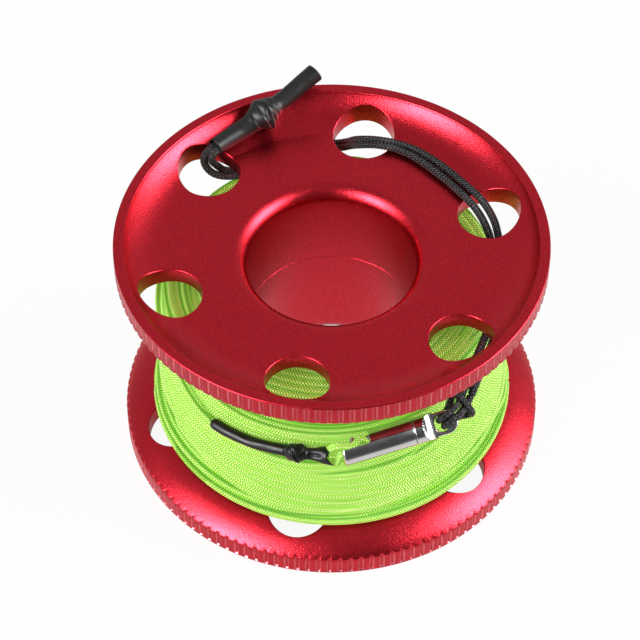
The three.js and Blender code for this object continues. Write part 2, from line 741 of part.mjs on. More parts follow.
const part = new THREE.Group();
part.add(lowerHalf(), upperHalf(), lineCore(), outerLayer());
part.add(lineSleeve(), lineKnot(), lanyardSleeve(), lanyardKnot());
part.add(cord('line_lead', leadRoute, lineDiameter, 18, lineGreen()));
part.add(cord('line_loop', loopRoute, lineDiameter, 24, lineGreen()));
part.add(cord('lanyard_hitch', hitchRoute, cordDiameter, 34, blackCord()));
part.add(cord('lanyard_strand_a', strandRouteA, cordDiameter, 38, blackCord()));
part.add(cord('lanyard_strand_b', strandRouteB, cordDiameter, 38, blackCord()));
barrelFrame.inner.add(barrel(), peg(), gatePin(), gateSpring(), endPlug());
eyeFrame.inner.add(rivet(), swivelEye());
part.add(barrelFrame.root, eyeFrame.root);

export default part;
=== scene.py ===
# %% [markdown]
# # A finger spool, dressed for its picture
# The object is a reel turned from aluminium in two halves and wound with braided line. Its solid model
# holds the sizes and the joints. This script gives each piece the surface that the eye expects: satin red
# anodising, braided line, shrunk tube, braided cord and polished steel. Shapes are worked out in
# millimetres, in the solid model's own frame, and turned to metres when a mesh is made.

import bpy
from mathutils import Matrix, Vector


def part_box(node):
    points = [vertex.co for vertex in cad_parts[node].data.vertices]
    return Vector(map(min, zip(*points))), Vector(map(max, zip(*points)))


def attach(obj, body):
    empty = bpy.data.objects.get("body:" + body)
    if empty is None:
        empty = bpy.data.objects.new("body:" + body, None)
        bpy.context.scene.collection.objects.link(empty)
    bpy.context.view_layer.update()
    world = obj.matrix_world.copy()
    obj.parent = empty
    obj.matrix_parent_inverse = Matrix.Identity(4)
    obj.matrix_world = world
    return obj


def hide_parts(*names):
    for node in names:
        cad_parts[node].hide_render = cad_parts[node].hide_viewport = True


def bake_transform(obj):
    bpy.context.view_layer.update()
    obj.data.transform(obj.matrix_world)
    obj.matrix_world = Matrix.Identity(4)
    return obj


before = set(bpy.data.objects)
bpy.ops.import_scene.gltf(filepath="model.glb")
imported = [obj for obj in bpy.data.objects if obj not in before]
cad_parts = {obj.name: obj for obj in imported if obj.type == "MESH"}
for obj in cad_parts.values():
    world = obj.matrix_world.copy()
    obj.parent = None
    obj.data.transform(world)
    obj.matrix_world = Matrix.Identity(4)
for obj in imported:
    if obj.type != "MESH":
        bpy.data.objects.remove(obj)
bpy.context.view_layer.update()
print("nodes in the solid model:", len(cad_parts))

# %% Libraries and the unit
import math

import bmesh
import bpy
import numpy as np
from mathutils import Matrix, Vector

MM = 0.001

# %% [markdown]
# ## The camera
# The camera stands where the photograph was taken from: almost 0.6 m away, looking down at a little under
# fifty degrees. A long lens keeps the two flanges nearly the same size. The small shift moves the middle of
# the picture to where the lens pointed.

# %% Camera
view_elevation = math.radians(49.73)
view_distance = 598.3 * MM
view_target = Vector((-0.12, 0, 29.53)) * MM
view_roll = math.radians(0.16)
picture_width = 640
focal_pixels = 2625.6
optical_centre_pixels = (331.0, 324.9)
sensor_width = 36

camera_data = bpy.data.cameras.new("camera")
camera_data.sensor_width = sensor_width
camera_data.lens = focal_pixels / picture_width * sensor_width
camera_data.shift_x = (picture_width / 2 - optical_centre_pixels[0]) / picture_width
camera_data.shift_y = (optical_centre_pixels[1] - picture_width / 2) / picture_width
camera_data.clip_start = 0.01
camera = bpy.data.objects.new("camera", camera_data)
bpy.context.scene.collection.objects.link(camera)
back = Vector((0, -math.cos(view_elevation), math.sin(view_elevation)))
camera.location = view_target + back * view_distance
camera.rotation_euler = (math.pi / 2 - view_elevation, 0, 0)
camera.rotation_euler.rotate_axis("Z", view_roll)
bpy.context.scene.camera = camera
bpy.context.scene.view_settings.view_transform = "Standard"
print("lens mm:", round(camera_data.lens, 1), "camera at", [round(x, 4) for x in camera.location])

# %% [markdown]
# ## Meshes from arrays
# Nearly every surface here is a grid: one parameter runs along a profile or a path, the other runs round.
# The helpers below turn such grids into meshes, join grids that share a border, and hang a pattern on them.
# A pattern that must follow a cord needs its own coordinates, so tubes carry a UV map: across is the share
# of the way round, and along is the length in millimetres.

# %% Mesh helpers
def quads(rows, columns):
    """Corner numbers of the faces of a grid of points, row after row. Each row closes on itself."""
    i, j = np.meshgrid(np.arange(rows - 1), np.arange(columns), indexing="ij")
    right = (j + 1) % columns
    corners = [i * columns + j, i * columns + right, (i + 1) * columns + right, (i + 1) * columns + j]
    return np.stack(corners, -1).reshape(-1, 4)


def new_mesh(points, faces, uv=None):
    """A mesh from points in millimetres and arrays of faces, each array with 3 or 4 corners a face."""
    mesh = bpy.data.meshes.new("mesh")
    mesh.vertices.add(len(points))
    mesh.vertices.foreach_set("co", (points * MM).astype(np.float32).ravel())
    corners = np.concatenate([block.ravel() for block in faces]).astype(np.int32)
    sizes = np.concatenate([np.full(len(block), block.shape[1]) for block in faces])
    mesh.loops.add(len(corners))
    mesh.loops.foreach_set("vertex_index", corners)
    mesh.polygons.add(len(sizes))
    mesh.polygons.foreach_set("loop_start", np.concatenate([[0], np.cumsum(sizes)[:-1]]).astype(np.int32))
    mesh.update(calc_edges=True)
    if uv is not None:
        layer = mesh.uv_layers.new(name="around_along")
        layer.data.foreach_set("uv", uv.astype(np.float32).ravel())
    mesh.validate()
    return mesh


def welded(blocks):
    """Joins blocks of (points, faces) into one and merges points within a hundredth of a micron."""
    offset = 0
    points = []
    faces = []
    for block_points, block_faces in blocks:
        points.append(block_points.reshape(-1, 3))
        faces += [block + offset for block in block_faces]
        offset += len(points[-1])
    points = np.concatenate(points)
    first, home = np.unique(np.round(points, 5), axis=0, return_index=True, return_inverse=True)[1:]
    home = home.ravel()
    return points[first], [home[block] for block in faces]


def outward(mesh):
    """Turns every face of a closed mesh to point out, and drops faces that have no area."""
    work = bmesh.new()
    work.from_mesh(mesh)
    bmesh.ops.dissolve_degenerate(work, dist=1e-9, edges=work.edges)
    bmesh.ops.recalc_face_normals(work, faces=work.faces)
    work.to_mesh(mesh)
    work.free()
    return mesh


def place(name, mesh, body, material, nodes=(), sharp=None):
    """Puts a mesh in the scene as a piece for solid nodes, which rides on a body if one is named."""
    mesh.name = name
    piece = bpy.data.objects.new(name, mesh)
    bpy.context.scene.collection.objects.link(piece)
    mesh.shade_smooth()
    if sharp is not None:
        mesh.set_sharp_from_angle(angle=math.radians(sharp))
    mesh.materials.append(material)
    if nodes:
        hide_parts(*nodes)
    if body:
        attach(piece, body)
    print(name, len(mesh.vertices), "points")
    return piece


# %% [markdown]
# ## Materials from nodes
# A colour is written the way a screen shows it, as sRGB hex, and one function turns it to the linear values
# that the renderer adds up. One more function adds a node, sets it and links it, so each material below
# reads as a list of what it is made of.

# %% Material helpers
def linear(code):
    """Linear red, green, blue and alpha of an sRGB hex colour."""
    values = [int(code[i : i + 2], 16) / 255 for i in (1, 3, 5)]
    return [v / 12.92 if v <= 0.04045 else ((v + 0.055) / 1.055) ** 2.4 for v in values] + [1.0]


def set_inputs(node, inputs):
    """Gives a node's inputs values, or links them. A node stands for its own first output."""
    for name, value in inputs.items():
        if isinstance(value, bpy.types.Node):
            value = value.outputs[0]
        if isinstance(value, bpy.types.NodeSocket):
            node.id_data.links.new(value, node.inputs[name])
        else:
            node.inputs[name].default_value = value


def add(tree, kind, inputs=None, **settings):
    """Adds a shader node of one kind with its settings and its inputs."""
    node = tree.nodes.new("ShaderNode" + kind)
    for name, value in settings.items():
        setattr(node, name, value)
    set_inputs(node, inputs or {})
    return node


def new_material(name, inputs):
    """A material with one Principled shader, whose plain values are set on its own sockets."""
    material = bpy.data.materials.new(name)
    material.use_nodes = True
    tree = material.node_tree
    tree.nodes.clear()
    surface = add(tree, "BsdfPrincipled", inputs)
    add(tree, "OutputMaterial", {"Surface": surface})
    print("material", name)
    return material, tree, surface


# %% [markdown]
# ## Braid
# Line and cord are both braided: two families of yarns wind round the core in opposite ways and pass over
# and under each other. Along the skin this makes slanting cells in a diamond grid. In the UV map one family
# runs along p = around x carriers + along / pitch, the other along q = around x carriers - along / pitch.
# Where floor(p) + floor(q) is even the first family is on top. The cell's height is a rounded hill, which
# drives the bump, and where it is low the colour is painted darker, a painted shade in the gaps between
# yarns. The cell's parity tints the yarn lighter or darker, a painted highlight and a painted shade, because
# yarns that lean left and right catch the light unlike. The real plait is too fine for this picture, so both
# braids are drawn coarser than it, to show at all.

# %% Braided cord material
line_carriers = 6
line_pitch = 0.66
cord_carriers = 8
cord_pitch = 0.8
# Share of the painted groove shade at the line's two sides.
groove_shade_share = 0.8


def braided(name, yarns, gap, carriers, pitch, roughness, bump, glow=0.0, sheen=0.0, side=None):
    """Material for a braid: a lighter and a darker colour for the two families, a painted highlight and a
    painted shade; the colour of the gaps, a painted shade; carriers one way round, pitch in mm, and the
    colour of the painted shade to which the two sides darken, by 0.8 x |cos 2 pi around| ** 9. A glow is
    painted light."""
    material, tree, surface = new_material(name, {
        "Roughness": roughness, "Specular IOR Level": 0.3, "Sheen Weight": sheen, "Sheen Roughness": 0.45,
    })
    split = add(tree, "SeparateXYZ", {0: add(tree, "UVMap", uv_map="around_along")})
    around, along = split.outputs[0], split.outputs[1]
    round_way = add(tree, "Math", {0: around, 1: float(carriers)}, operation="MULTIPLY")
    length_way = add(tree, "Math", {0: along, 1: pitch}, operation="DIVIDE")
    hills = []
    steps = []
    for direction in ("ADD", "SUBTRACT"):
        family = add(tree, "Math", {0: round_way, 1: length_way}, operation=direction)
        turned = add(tree, "Math", {0: family, 1: math.pi}, operation="MULTIPLY")
        wave = add(tree, "Math", {0: turned}, operation="SINE")
        hills.append(add(tree, "Math", {0: wave}, operation="ABSOLUTE"))
        steps.append(add(tree, "Math", {0: family}, operation="FLOOR"))
    hill = add(tree, "Math", dict(enumerate(hills)), operation="MULTIPLY")
    height = add(tree, "Math", {0: hill, 1: 0.6}, operation="POWER")
    # Painted shade: where the hill is low the colour turns to the gap's darker colour, the shade in the
    # crevices between yarns.
    cover = add(tree, "MapRange", {"Value": height, 1: 0.4, 2: 0.88}, interpolation_type="SMOOTHSTEP")
    cells = add(tree, "Math", dict(enumerate(steps)), operation="ADD")
    parity = add(tree, "Math", {0: cells, 1: 1.0}, operation="PINGPONG")
    # Painted highlight and painted shade: the cell's parity picks the lit or the shaded yarn colour.
    lit_yarn, shaded_yarn = (linear(code) for code in yarns)
    yarn = add(tree, "Mix", {0: parity, 6: shaded_yarn, 7: lit_yarn}, data_type="RGBA")
    shade = add(tree, "Mix", {0: cover, 6: linear(gap), 7: yarn.outputs[2]}, data_type="RGBA")
    colour = shade.outputs[2]
    # Painted shade: the two sides darken towards the side colour, the shade of the groove between two turns.
    if side:
        angle = add(tree, "Math", {0: around, 1: 2 * math.pi}, operation="MULTIPLY")
        cosine = add(tree, "Math", {0: angle}, operation="COSINE")
        size = add(tree, "Math", {0: cosine}, operation="ABSOLUTE")
        groove_shade_mask = add(tree, "Math", {0: size, 1: 9.0}, operation="POWER")
        share = add(tree, "Math", {0: groove_shade_mask, 1: groove_shade_share}, operation="MULTIPLY")
        colour = add(tree, "Mix", {0: share, 6: colour, 7: linear(side)}, data_type="RGBA").outputs[2]
    lift = add(tree, "Bump", {"Height": height, "Distance": bump * MM, "Strength": 1.0})
    set_inputs(surface, {"Base Color": colour, "Normal": lift})
    # Painted light: the braid glows with its own colour, even where no lamp reaches.
    if glow:
        set_inputs(surface, {"Emission Color": colour, "Emission Strength": glow})
    return material


# The line is dyed with a fluorescent pigment that sends back more green than falls on it; the glow is painted
# light, an emission of the line's own colour that shines even where no lamp reaches.
# Where two turns lie side by side the groove between them is in shade, painted on the line's two sides as a
# darker colour.
line_braid = braided(
    "fluorescent_braided_line", ("#FBFFA6", "#CFFA58"), "#62BC18", line_carriers, line_pitch,
    roughness=0.65, bump=0.12, glow=0.32, sheen=0.08, side="#4F9E10",
)
# The cord's light grey yarn colour is a painted glint on each yarn; its near-black yarn and gap are painted
# shade.
cord_braid = braided(
    "black_braided_polyester", ("#4A4C50", "#070708"), "#010101", cord_carriers, cord_pitch,
    roughness=0.34, bump=0.14,
)

# %% [markdown]
# ## Routes and tubes
# A cord is a section carried along a route. The route goes through given points on one smooth curve, a
# Catmull-Rom curve whose steps follow the square root of each gap, so that it doesn't overshoot at close
# points. The section must not twist by itself, so each ring's side vector is the last one with its part along
# the new direction taken away.

# %% Route and tube helpers
def smooth_route(points, spacing):
    """Points at an even spacing in mm along a centripetal Catmull-Rom curve through the given points."""
    points = np.asarray(points, float)
    ends = [2 * points[0] - points[1], 2 * points[-1] - points[-2]]
    p = np.vstack([ends[0], points, ends[1]])
    gap = np.sqrt(np.linalg.norm(np.diff(p, axis=0), axis=1))
    knot = np.concatenate([[0], np.cumsum(gap)])
    fine = []
    for k in range(1, len(p) - 2):
        t = np.linspace(knot[k], knot[k + 1], 24, endpoint=False)[:, None]
        a = [
            ((knot[m + 1] - t) * p[m] + (t - knot[m]) * p[m + 1]) / (knot[m + 1] - knot[m])
            for m in (k - 1, k, k + 1)
        ]
        b = [
            ((knot[m + 2] - t) * a[n] + (t - knot[m]) * a[n + 1]) / (knot[m + 2] - knot[m])
            for n, m in ((0, k - 1), (1, k))
        ]
        fine.append(((knot[k + 1] - t) * b[0] + (t - knot[k]) * b[1]) / (knot[k + 1] - knot[k]))
    fine = np.vstack(fine + [p[-2:-1]])
    return even_steps(fine, spacing)


def lengths_along(route):
    """Length in mm from the route's start to each of its points."""
    return np.concatenate([[0], np.cumsum(np.linalg.norm(np.diff(route, axis=0), axis=1))])


def even_steps(line, spacing):
    """The same line with points at an even spacing."""
    length = lengths_along(line)
    count = max(2, int(round(length[-1] / spacing)) + 1)
    at = np.linspace(0, length[-1], count)
    return np.stack([np.interp(at, length, line[:, k]) for k in range(3)], -1)


def unit(vectors):
    """Each vector scaled to length one."""
    return vectors / np.linalg.norm(vectors, axis=-1, keepdims=True)


def square_to(along, way):
    """Each way without its part along a unit vector, scaled to length one."""
    return unit(way - along * (way * along).sum(-1, keepdims=True))


def steady_side(route, first):
    """For each point of a route, a direction across it that turns as little as it can on the way."""
    along = unit(np.gradient(route, axis=0))
    side = np.zeros_like(route)
    current = np.asarray(first, float)
    for i in range(len(route)):
        current = square_to(along[i], current)
        side[i] = current
    return side


def tube_uv(route, sides):
    """UV of each face corner of a tube: the share of the way round, and the length along in mm."""
    along = lengths_along(route)
    i, j = np.meshgrid(np.arange(len(route) - 1), np.arange(sides), indexing="ij")
    round_way = np.stack([j, j + 1, j + 1, j], -1) / sides
    length = np.stack([along[i], along[i], along[i + 1], along[i + 1]], -1)
    return np.stack([round_way, length], -1).reshape(-1, 2)


def capped_tube(route, grid, rounding=0.5):
    """Mesh of a tube with a shallow domed cap at each end: a point, a share of the radius beyond it."""
    rows, sides = grid.shape[:2]
    start = grid[0].mean(0)
    end = grid[-1].mean(0)
    reach = np.linalg.norm(grid[0, 0] - start) * rounding
    tips = [start + unit(route[0] - route[1]) * reach, end + unit(route[-1] - route[-2]) * reach]
    j = np.arange(sides)
    right = (j + 1) % sides
    n = rows * sides
    first_fan = np.stack([right, j, np.full(sides, n)], -1)
    last_fan = np.stack([n - sides + j, n - sides + right, np.full(sides, n + 1)], -1)
    first_uv = [np.stack([j + 1, j, j + 0.5], -1) / sides, np.zeros((sides, 3))]
    last_uv = [np.stack([j, j + 1, j + 0.5], -1) / sides, np.full((sides, 3), lengths_along(route)[-1])]
    fan_uv = [np.stack(part, -1).reshape(-1, 2) for part in (first_uv, last_uv)]
    points = np.vstack([grid.reshape(-1, 3), tips])
    uv = np.vstack([tube_uv(route, sides), *fan_uv])
    return new_mesh(points, [quads(rows, sides), first_fan, last_fan], uv)


# %% [markdown]
# ## The lanyard's two strands
# The lanyard is one thin black braided cord, doubled. Both strands leave the stopper knot on the upper
# flange, go down through a hole, pass under the web, come up through the next hole, cross the dish, go down
# through the third and end in a hitch on the clip. The points below are the solid model's own: an angle
# round the axis in degrees, a distance in from the flange's edge and a distance down from the top, in mm. A
# hollow braid is soft, so the two strands press each other a little flat, and the section is an oval whose
# wide way points from one strand to the other. The braid's relief is modelled too: the skin rises over each
# yarn.

# %% Lanyard routes
flange_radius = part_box("upper_spool_half")[1].y / MM
spool_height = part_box("upper_spool_half")[1].z / MM


def from_rim(points):
    """Places in mm from angle, distance in from the edge and down: radius R - in, height H - down."""
    angle, inward, down = np.asarray(points, float).T
    turn = np.radians(angle)
    radius = flange_radius - inward
    return np.stack([radius * np.cos(turn), radius * np.sin(turn), spool_height - down], -1)


strand_a_points = from_rim([
    (116.14, 6.23, 1), (122.18, 6.88, 1.8), (127.74, 7.16, 2.3), (132.71, 7.31, 2.7), (134.8, 6.99, 4.1),
    (135.2, 6.85, 5.7), (135, 7.13, 7.3), (134.29, 7.9, 8.8), (133.13, 8.95, 9.8), (131.46, 10.24, 10.2),
    (128.39, 11.77, 10.3), (121.3, 13.36, 10.3), (111.52, 13.92, 10.3), (101.6, 13.19, 10.3),
    (93.94, 11.61, 10.3), (88.76, 10.89, 10.1), (84.98, 11.46, 8.8), (81.89, 12.55, 7), (77.74, 13.62, 5.3),
    (73.27, 13.96, 4.3), (69.23, 13.88, 4), (65.29, 13.55, 4.1), (57.75, 13.71, 4.1), (48.13, 14.29, 4.1),
    (37.62, 14.42, 4.1), (30.5, 14.11, 4.1), (24.72, 13.32, 4.7), (20.63, 12.52, 6), (17.38, 11.85, 7.7),
    (14.26, 11.47, 9.2), (11.06, 11.52, 10.1), (6.99, 11.83, 10.3), (-1.91, 12.08, 10.4),
    (-11.77, 11.74, 10.4), (-20.77, 10.78, 10.4), (-28.63, 9.6, 10.4), (-36.06, 8.42, 10.5),
    (-40.6, 7.43, 11), (-43.43, 6.83, 12.3), (-46.35, 5.99, 14.6),
])
strand_b_points = from_rim([
    (115.41, 7.92, 1), (121.68, 8.4, 1.8), (127.34, 8.76, 2.3), (132.72, 8.94, 2.6), (133.87, 8.61, 4.1),
    (133.67, 8.32, 5.6), (132.66, 8.16, 7), (131.32, 8.32, 8.4), (129.9, 9.03, 9.7), (127.95, 9.95, 10.2),
    (124.42, 11.03, 10.3), (117.28, 12, 10.3), (108.69, 12.11, 10.3), (100.12, 11.02, 10.3),
    (93.27, 9.44, 10.3), (88.23, 9.08, 10.1), (84.9, 9.75, 8.8), (82.28, 10.76, 7), (78.35, 11.86, 5.3),
    (74.05, 12.33, 4.3), (70.2, 12.29, 4), (66.49, 11.9, 4.1), (59.2, 11.68, 4.1), (50.84, 11.89, 4.1),
    (41.5, 12.08, 4.1), (31.94, 11.71, 4.1), (25.8, 11.01, 4.4), (21.12, 10.26, 5.6), (17.49, 9.73, 7.2),
    (14.47, 9.58, 8.9), (11.43, 9.64, 10), (7.55, 9.97, 10.3), (-1.52, 10.29, 10.4), (-11.37, 9.95, 10.4),
    (-20.38, 8.95, 10.4), (-28.16, 7.74, 10.4), (-35.18, 6.52, 10.5), (-39.63, 5.67, 11.1),
    (-42.93, 4.98, 13.2), (-45.93, 4.44, 15.7),
])


# %% Braided cord relief
cord_diameter = 1.5
cord_sides = 32
cord_wide_share = 1.16
cord_thick_share = 0.98
cord_relief = 0.14
relief_middle = 0.6


def braid_relief(along, sides, carriers, pitch):
    """Height of a braid's skin, 0 at its middle: |sin(pi p) sin(pi q)| ** 0.5 - 0.6, p and q as in the
    material."""
    around = np.arange(sides) / sides * carriers
    p = around[None] + along[:, None] / pitch
    q = around[None] - along[:, None] / pitch
    return np.sqrt(np.abs(np.sin(np.pi * p) * np.sin(np.pi * q))) - relief_middle


def oval_rings(route, wide_way, half_wide, half_thick, sides, fullness=1.0, relief=0.0):
    """Rings of an oval section: half_wide x |cos a| ** fullness one way and half_thick x |sin a| **
    fullness the other, each times 1 + relief. The wide way is the given direction without its part along
    the route."""
    along = unit(np.gradient(route, axis=0))
    wide = square_to(along, wide_way)
    thick = np.cross(along, wide)
    angle = np.linspace(0, 2 * np.pi, sides, endpoint=False)
    x = half_wide * np.sign(np.cos(angle)) * np.abs(np.cos(angle)) ** fullness
    y = half_thick * np.sign(np.sin(angle)) * np.abs(np.sin(angle)) ** fullness
    scale = np.broadcast_to(1 + np.asarray(relief, float), (len(route), sides))[..., None]
    return route[:, None] + scale * (x[:, None] * wide[:, None] + y[:, None] * thick[:, None])


def braided_cord(name, route, wide_way, nodes):
    """A piece of lanyard cord along a route: an oval 1.16 x 0.98 diameters with the relief of its braid."""
    relief = cord_relief * braid_relief(lengths_along(route), cord_sides, cord_carriers, cord_pitch)
    half_wide = cord_wide_share * cord_diameter / 2
    half_thick = cord_thick_share * cord_diameter / 2
    grid = oval_rings(route, wide_way, half_wide, half_thick, cord_sides, relief=relief)
    return place(name, capped_tube(route, grid), "spool", cord_braid, nodes)


def towards(route, other):
    """Smoothed direction from each point of a route to the same share of another route."""
    share = np.linspace(0, 1, len(route))
    at = np.linspace(0, 1, len(other))
    apart = np.stack([np.interp(share, at, other[:, k]) for k in range(3)], -1) - route
    window = 31
    kernel = np.ones(window) / window
    padded = np.pad(apart, ((window // 2, window // 2), (0, 0)), mode="edge")
    return unit(np.stack([np.convolve(padded[:, k], kernel, "valid") for k in range(3)], -1))


cord_spacing = 0.16
route_a = smooth_route(strand_a_points, cord_spacing)
route_b = smooth_route(strand_b_points, cord_spacing)
strand_a = braided_cord("lanyard_cord_inner", route_a, towards(route_a, route_b), ["lanyard_strand_a"])
strand_b = braided_cord("lanyard_cord_outer", route_b, towards(route_b, route_a), ["lanyard_strand_b"])

# %% [markdown]
# ## Where the clip sits
# The clip lies against the winding, tilted up a little towards its eye. The solid model builds it in its
# own frame, in which X runs from the open seat to the eye. The same turns are repeated here, so the loop,
# the hitch and the clip's own pieces can be given in that frame.

# %% Clip frame
clip_azimuth = -74.2
clip_drop = 19.5
clip_tilt = 7
clip_middle = 9.7
barrel_roll = -74
eye_roll = -50
# The clip's widest place rests just off the winding, whose surface lies this far in from the flange's edge.
widest_radius = 3.25
winding_inset = 9.1
clip_gap = 0.3
clip_seat_radius = flange_radius - winding_inset + clip_gap + widest_radius


def turn(axis, degrees):
    """The 3 x 3 matrix of a turn about one axis."""
    return np.array(Matrix.Rotation(math.radians(degrees), 3, axis))


clip_way = turn("Z", clip_azimuth + 90) @ turn("Y", -clip_tilt)
clip_anchor = np.array([
    clip_seat_radius * math.cos(math.radians(clip_azimuth)),
    clip_seat_radius * math.sin(math.radians(clip_azimuth)),
    spool_height - clip_drop,
])


def in_clip(points, roll):
    """Points of the clip's frame, rolled about its X axis, in the spool's frame."""
    local = np.asarray(points, float) @ turn("X", roll).T + np.array([-clip_middle, 0, 0])
    return local @ clip_way.T + clip_anchor


def in_barrel(points):
    """Points of the barrel, which is rolled so that its open seat looks at the line."""
    return in_clip(points, barrel_roll)


def in_eye(points):
    """Points of the eye piece."""
    return in_clip(points, eye_roll)


barrel_origin = in_barrel([(0, 0, 0)])[0]
print("barrel starts at mm", barrel_origin.round(3))

# %% [markdown]
# ## The hitch
# Each strand goes through the clip's eye and comes back as one bight, which passes round both strands and
# holds them. The route's points are given along the pull, across it and out from the tongue's face. A cord
# this thin can't be tied by a simulation in reasonable time, so the knot is a route given point by point.

# %% Hitch
hitch_along = np.array([0.907, 0, 0.42])
hitch_across = np.array([-0.42, 0, 0.907])
hitch_lean = 1.1
lean_start = 3.6
eye_centre = 22.6
hitch_half = np.array([
    (5.6, 0.85, 1.9), (4.0, 0.85, 2.1), (2.4, 0.85, 2.1), (1.2, 0.84, 1.85), (0.3, 0.8, 1.1), (0, 0.8, 0),
    (0.3, 0.8, -1.1), (1.2, 0.86, -1.9), (2.6, 1.1, -2.2), (4.0, 1.7, -2.0), (5.2, 2.4, -1.2),
    (6.0, 2.8, 0.5), (6.4, 2.3, 2.9),
])


def hitch_points(table):
    """Points of the hitch: the strands lean away from the tongue's face beyond 3.6 mm along the pull."""
    along, across, out = np.asarray(table, float).T
    lean = hitch_lean * np.clip(along - lean_start, 0, None)
    start = np.stack([np.full(len(along), eye_centre), lean - out, np.zeros(len(along))], -1)
    return in_eye(start + along[:, None] * hitch_along + across[:, None] * hitch_across)


other_half = (hitch_half * np.array([1, -1, 1]))[::-1]
hitch_route = smooth_route(np.vstack([
    from_rim([(-46.83, 5.91, 14.8), (-48.71, 5.41, 15.7)]), hitch_points(hitch_half),
    hitch_points([(6.5, 0, 3.6)]), hitch_points(other_half),
    from_rim([(-48.31, 3.94, 16.7), (-46.39, 4.36, 15.9)]),
]), 0.12)
hitch_side = steady_side(hitch_route, (0.3, 0.2, 1.0))
hitch = braided_cord("lanyard_cord_hitch", hitch_route, hitch_side, ["lanyard_hitch"])

# %% [markdown]
# ## The flanges
# Each half of the spool is one turned piece: a dished flange with a thick rim, a rounded bore lip and a
# hub. Then the mill cuts six round holes and 125 notches. A cut made with a Boolean leaves slivers that
# spoil a satin highlight, so the holes are part of the grid instead. The dish is divided into six sectors.
# In each, straight lines run from the hole's edge to the sector's border, and the height of every point
# comes from the profile's formula, so that shading stays smooth right up to the edge.

# %% Spool sizes
rim_height = 4.8
rim_lip = 0.3
dish_depth = 5.2
dish_fillet = 10
dish_floor_radius = 37
dish_crease = 0.14
web_thickness = 3.9
bore_radius = 18.8
bore_lip = 3.5
hub_radius = bore_radius + 3.2
spigot_radius = bore_radius + 1.5
hub_split = 27
bore_split = 32
half_gap = 0.1
hole_radius = 7
hole_circle_radius = 37.1
hole_count = 6
hole_start = math.radians(18.7)
notch_count = 125
notch_depth = 0.36
edge_break = 0.22
inner_face = dish_depth + web_thickness
back_run = flange_radius - dish_floor_radius
back_rise = inner_face - rim_height
back_radius = (back_run**2 + back_rise**2) / (2 * back_rise)
patch_inner = hole_circle_radius - hole_radius - 1.2
patch_outer = hole_circle_radius + hole_radius + 0.8
rim_inner = dish_floor_radius + math.sqrt(dish_fillet**2 - (dish_fillet - dish_depth + rim_lip) ** 2)
print("radius", round(flange_radius, 2), "height", round(spool_height, 2), "rim inner", round(rim_inner, 2))


# %% Heights of the two faces of a flange
def dish_at(r):
    """Depth of the dished face: level to the floor radius, then a circle of the fillet's radius up to the
    rim. The cutting tool leaves a faint crease at the floor radius, 0.14 x run x (1 - run / full run) above
    the circle."""
    run = np.clip(r - dish_floor_radius, 0, None)
    crease = dish_crease * run * np.clip(1 - run / (rim_inner - dish_floor_radius), 0, 1)
    return dish_depth - dish_fillet + np.sqrt(dish_fillet**2 - run**2) - crease


def back_at(r):
    """Depth of the face towards the line: level to the floor radius, then one arc to the rim's foot."""
    run = np.clip(r - dish_floor_radius, 0, None)
    return inner_face - back_radius + np.sqrt(back_radius**2 - run**2)


# %% Sector of a flange face with its hole
inner_steps = 40
side_steps = 26
outer_steps = 125
patch_rows = 14
sector_angle = 2 * math.pi / hole_count


def sector_border():
    """Border of a sector about the X axis, as a closed run of points, and their angle at the hole."""
    half = sector_angle / 2
    angle = np.concatenate([
        np.linspace(-half, half, inner_steps + 1)[:-1], np.full(side_steps, half),
        np.linspace(half, -half, outer_steps + 1)[:-1], np.full(side_steps, -half),
    ])
    radius = np.concatenate([
        np.full(inner_steps, patch_inner), np.linspace(patch_inner, patch_outer, side_steps + 1)[:-1],
        np.full(outer_steps, patch_outer), np.linspace(patch_outer, patch_inner, side_steps + 1)[:-1],
    ])
    x = radius * np.cos(angle)
    y = radius * np.sin(angle)
    return x, y, np.arctan2(y, x - hole_circle_radius)


def turned_about_axis(x, y, z, angle):
    """Points turned about the spool's axis."""
    c = math.cos(angle)
    s = math.sin(angle)
    return np.stack([c * x - s * y, s * x + c * y, z], -1)


def round_hole(angle, radius):
    """Points at a radius round the centre of the hole on the X axis."""
    return hole_circle_radius + radius * np.cos(angle), radius * np.sin(angle)


def hole_sector(face_at, sector):
    """Grid from the broken edge of one hole, row 0, to its sector's border. Shares grow as i ** 1.4."""
    x, y, angle = sector_border()
    start_x, start_y = round_hole(angle, hole_radius + edge_break)
    share = (np.linspace(0, 1, patch_rows) ** 1.4)[:, None]
    gx = start_x + (x - start_x) * share
    gy = start_y + (y - start_y) * share
    grid = turned_about_axis(gx, gy, face_at(np.hypot(gx, gy)), hole_start + sector * sector_angle)
    return grid, [quads(patch_rows, grid.shape[1])]


def hole_wall(sector):
    """Wall of one hole: a quarter round of three steps at each face, and the bore between."""
    x, y, angle = sector_border()
    bend = np.radians([0, 30, 60, 90])
    out = edge_break * (1 - np.sin(np.concatenate([bend, bend[::-1]])))
    inset = edge_break * np.concatenate([1 - np.cos(bend), np.cos(bend[::-1]) - 1])
    gx, gy = round_hole(angle, hole_radius + out[:, None])
    edge_r = np.hypot(*round_hole(angle, hole_radius + edge_break))
    half = len(bend)
    z = np.vstack([np.tile(dish_at(edge_r), (half, 1)), np.tile(back_at(edge_r), (half, 1))]) + inset[:, None]
    grid = turned_about_axis(gx, gy, z, hole_start + sector * sector_angle)
    return grid, [quads(2 * half, grid.shape[1])]


# %% Turned rings and the notched rim
def turned_ring(profile, count, start):
    """A profile of (radius, depth) pairs turned about the axis in a number of steps."""
    profile = np.asarray(profile, float)
    angle = start + np.arange(count) * 2 * math.pi / count
    x = profile[:, :1] * np.cos(angle)
    y = profile[:, :1] * np.sin(angle)
    z = np.broadcast_to(profile[:, 1:], x.shape)
    return np.stack([x, y, z], -1), [quads(len(profile), count)]


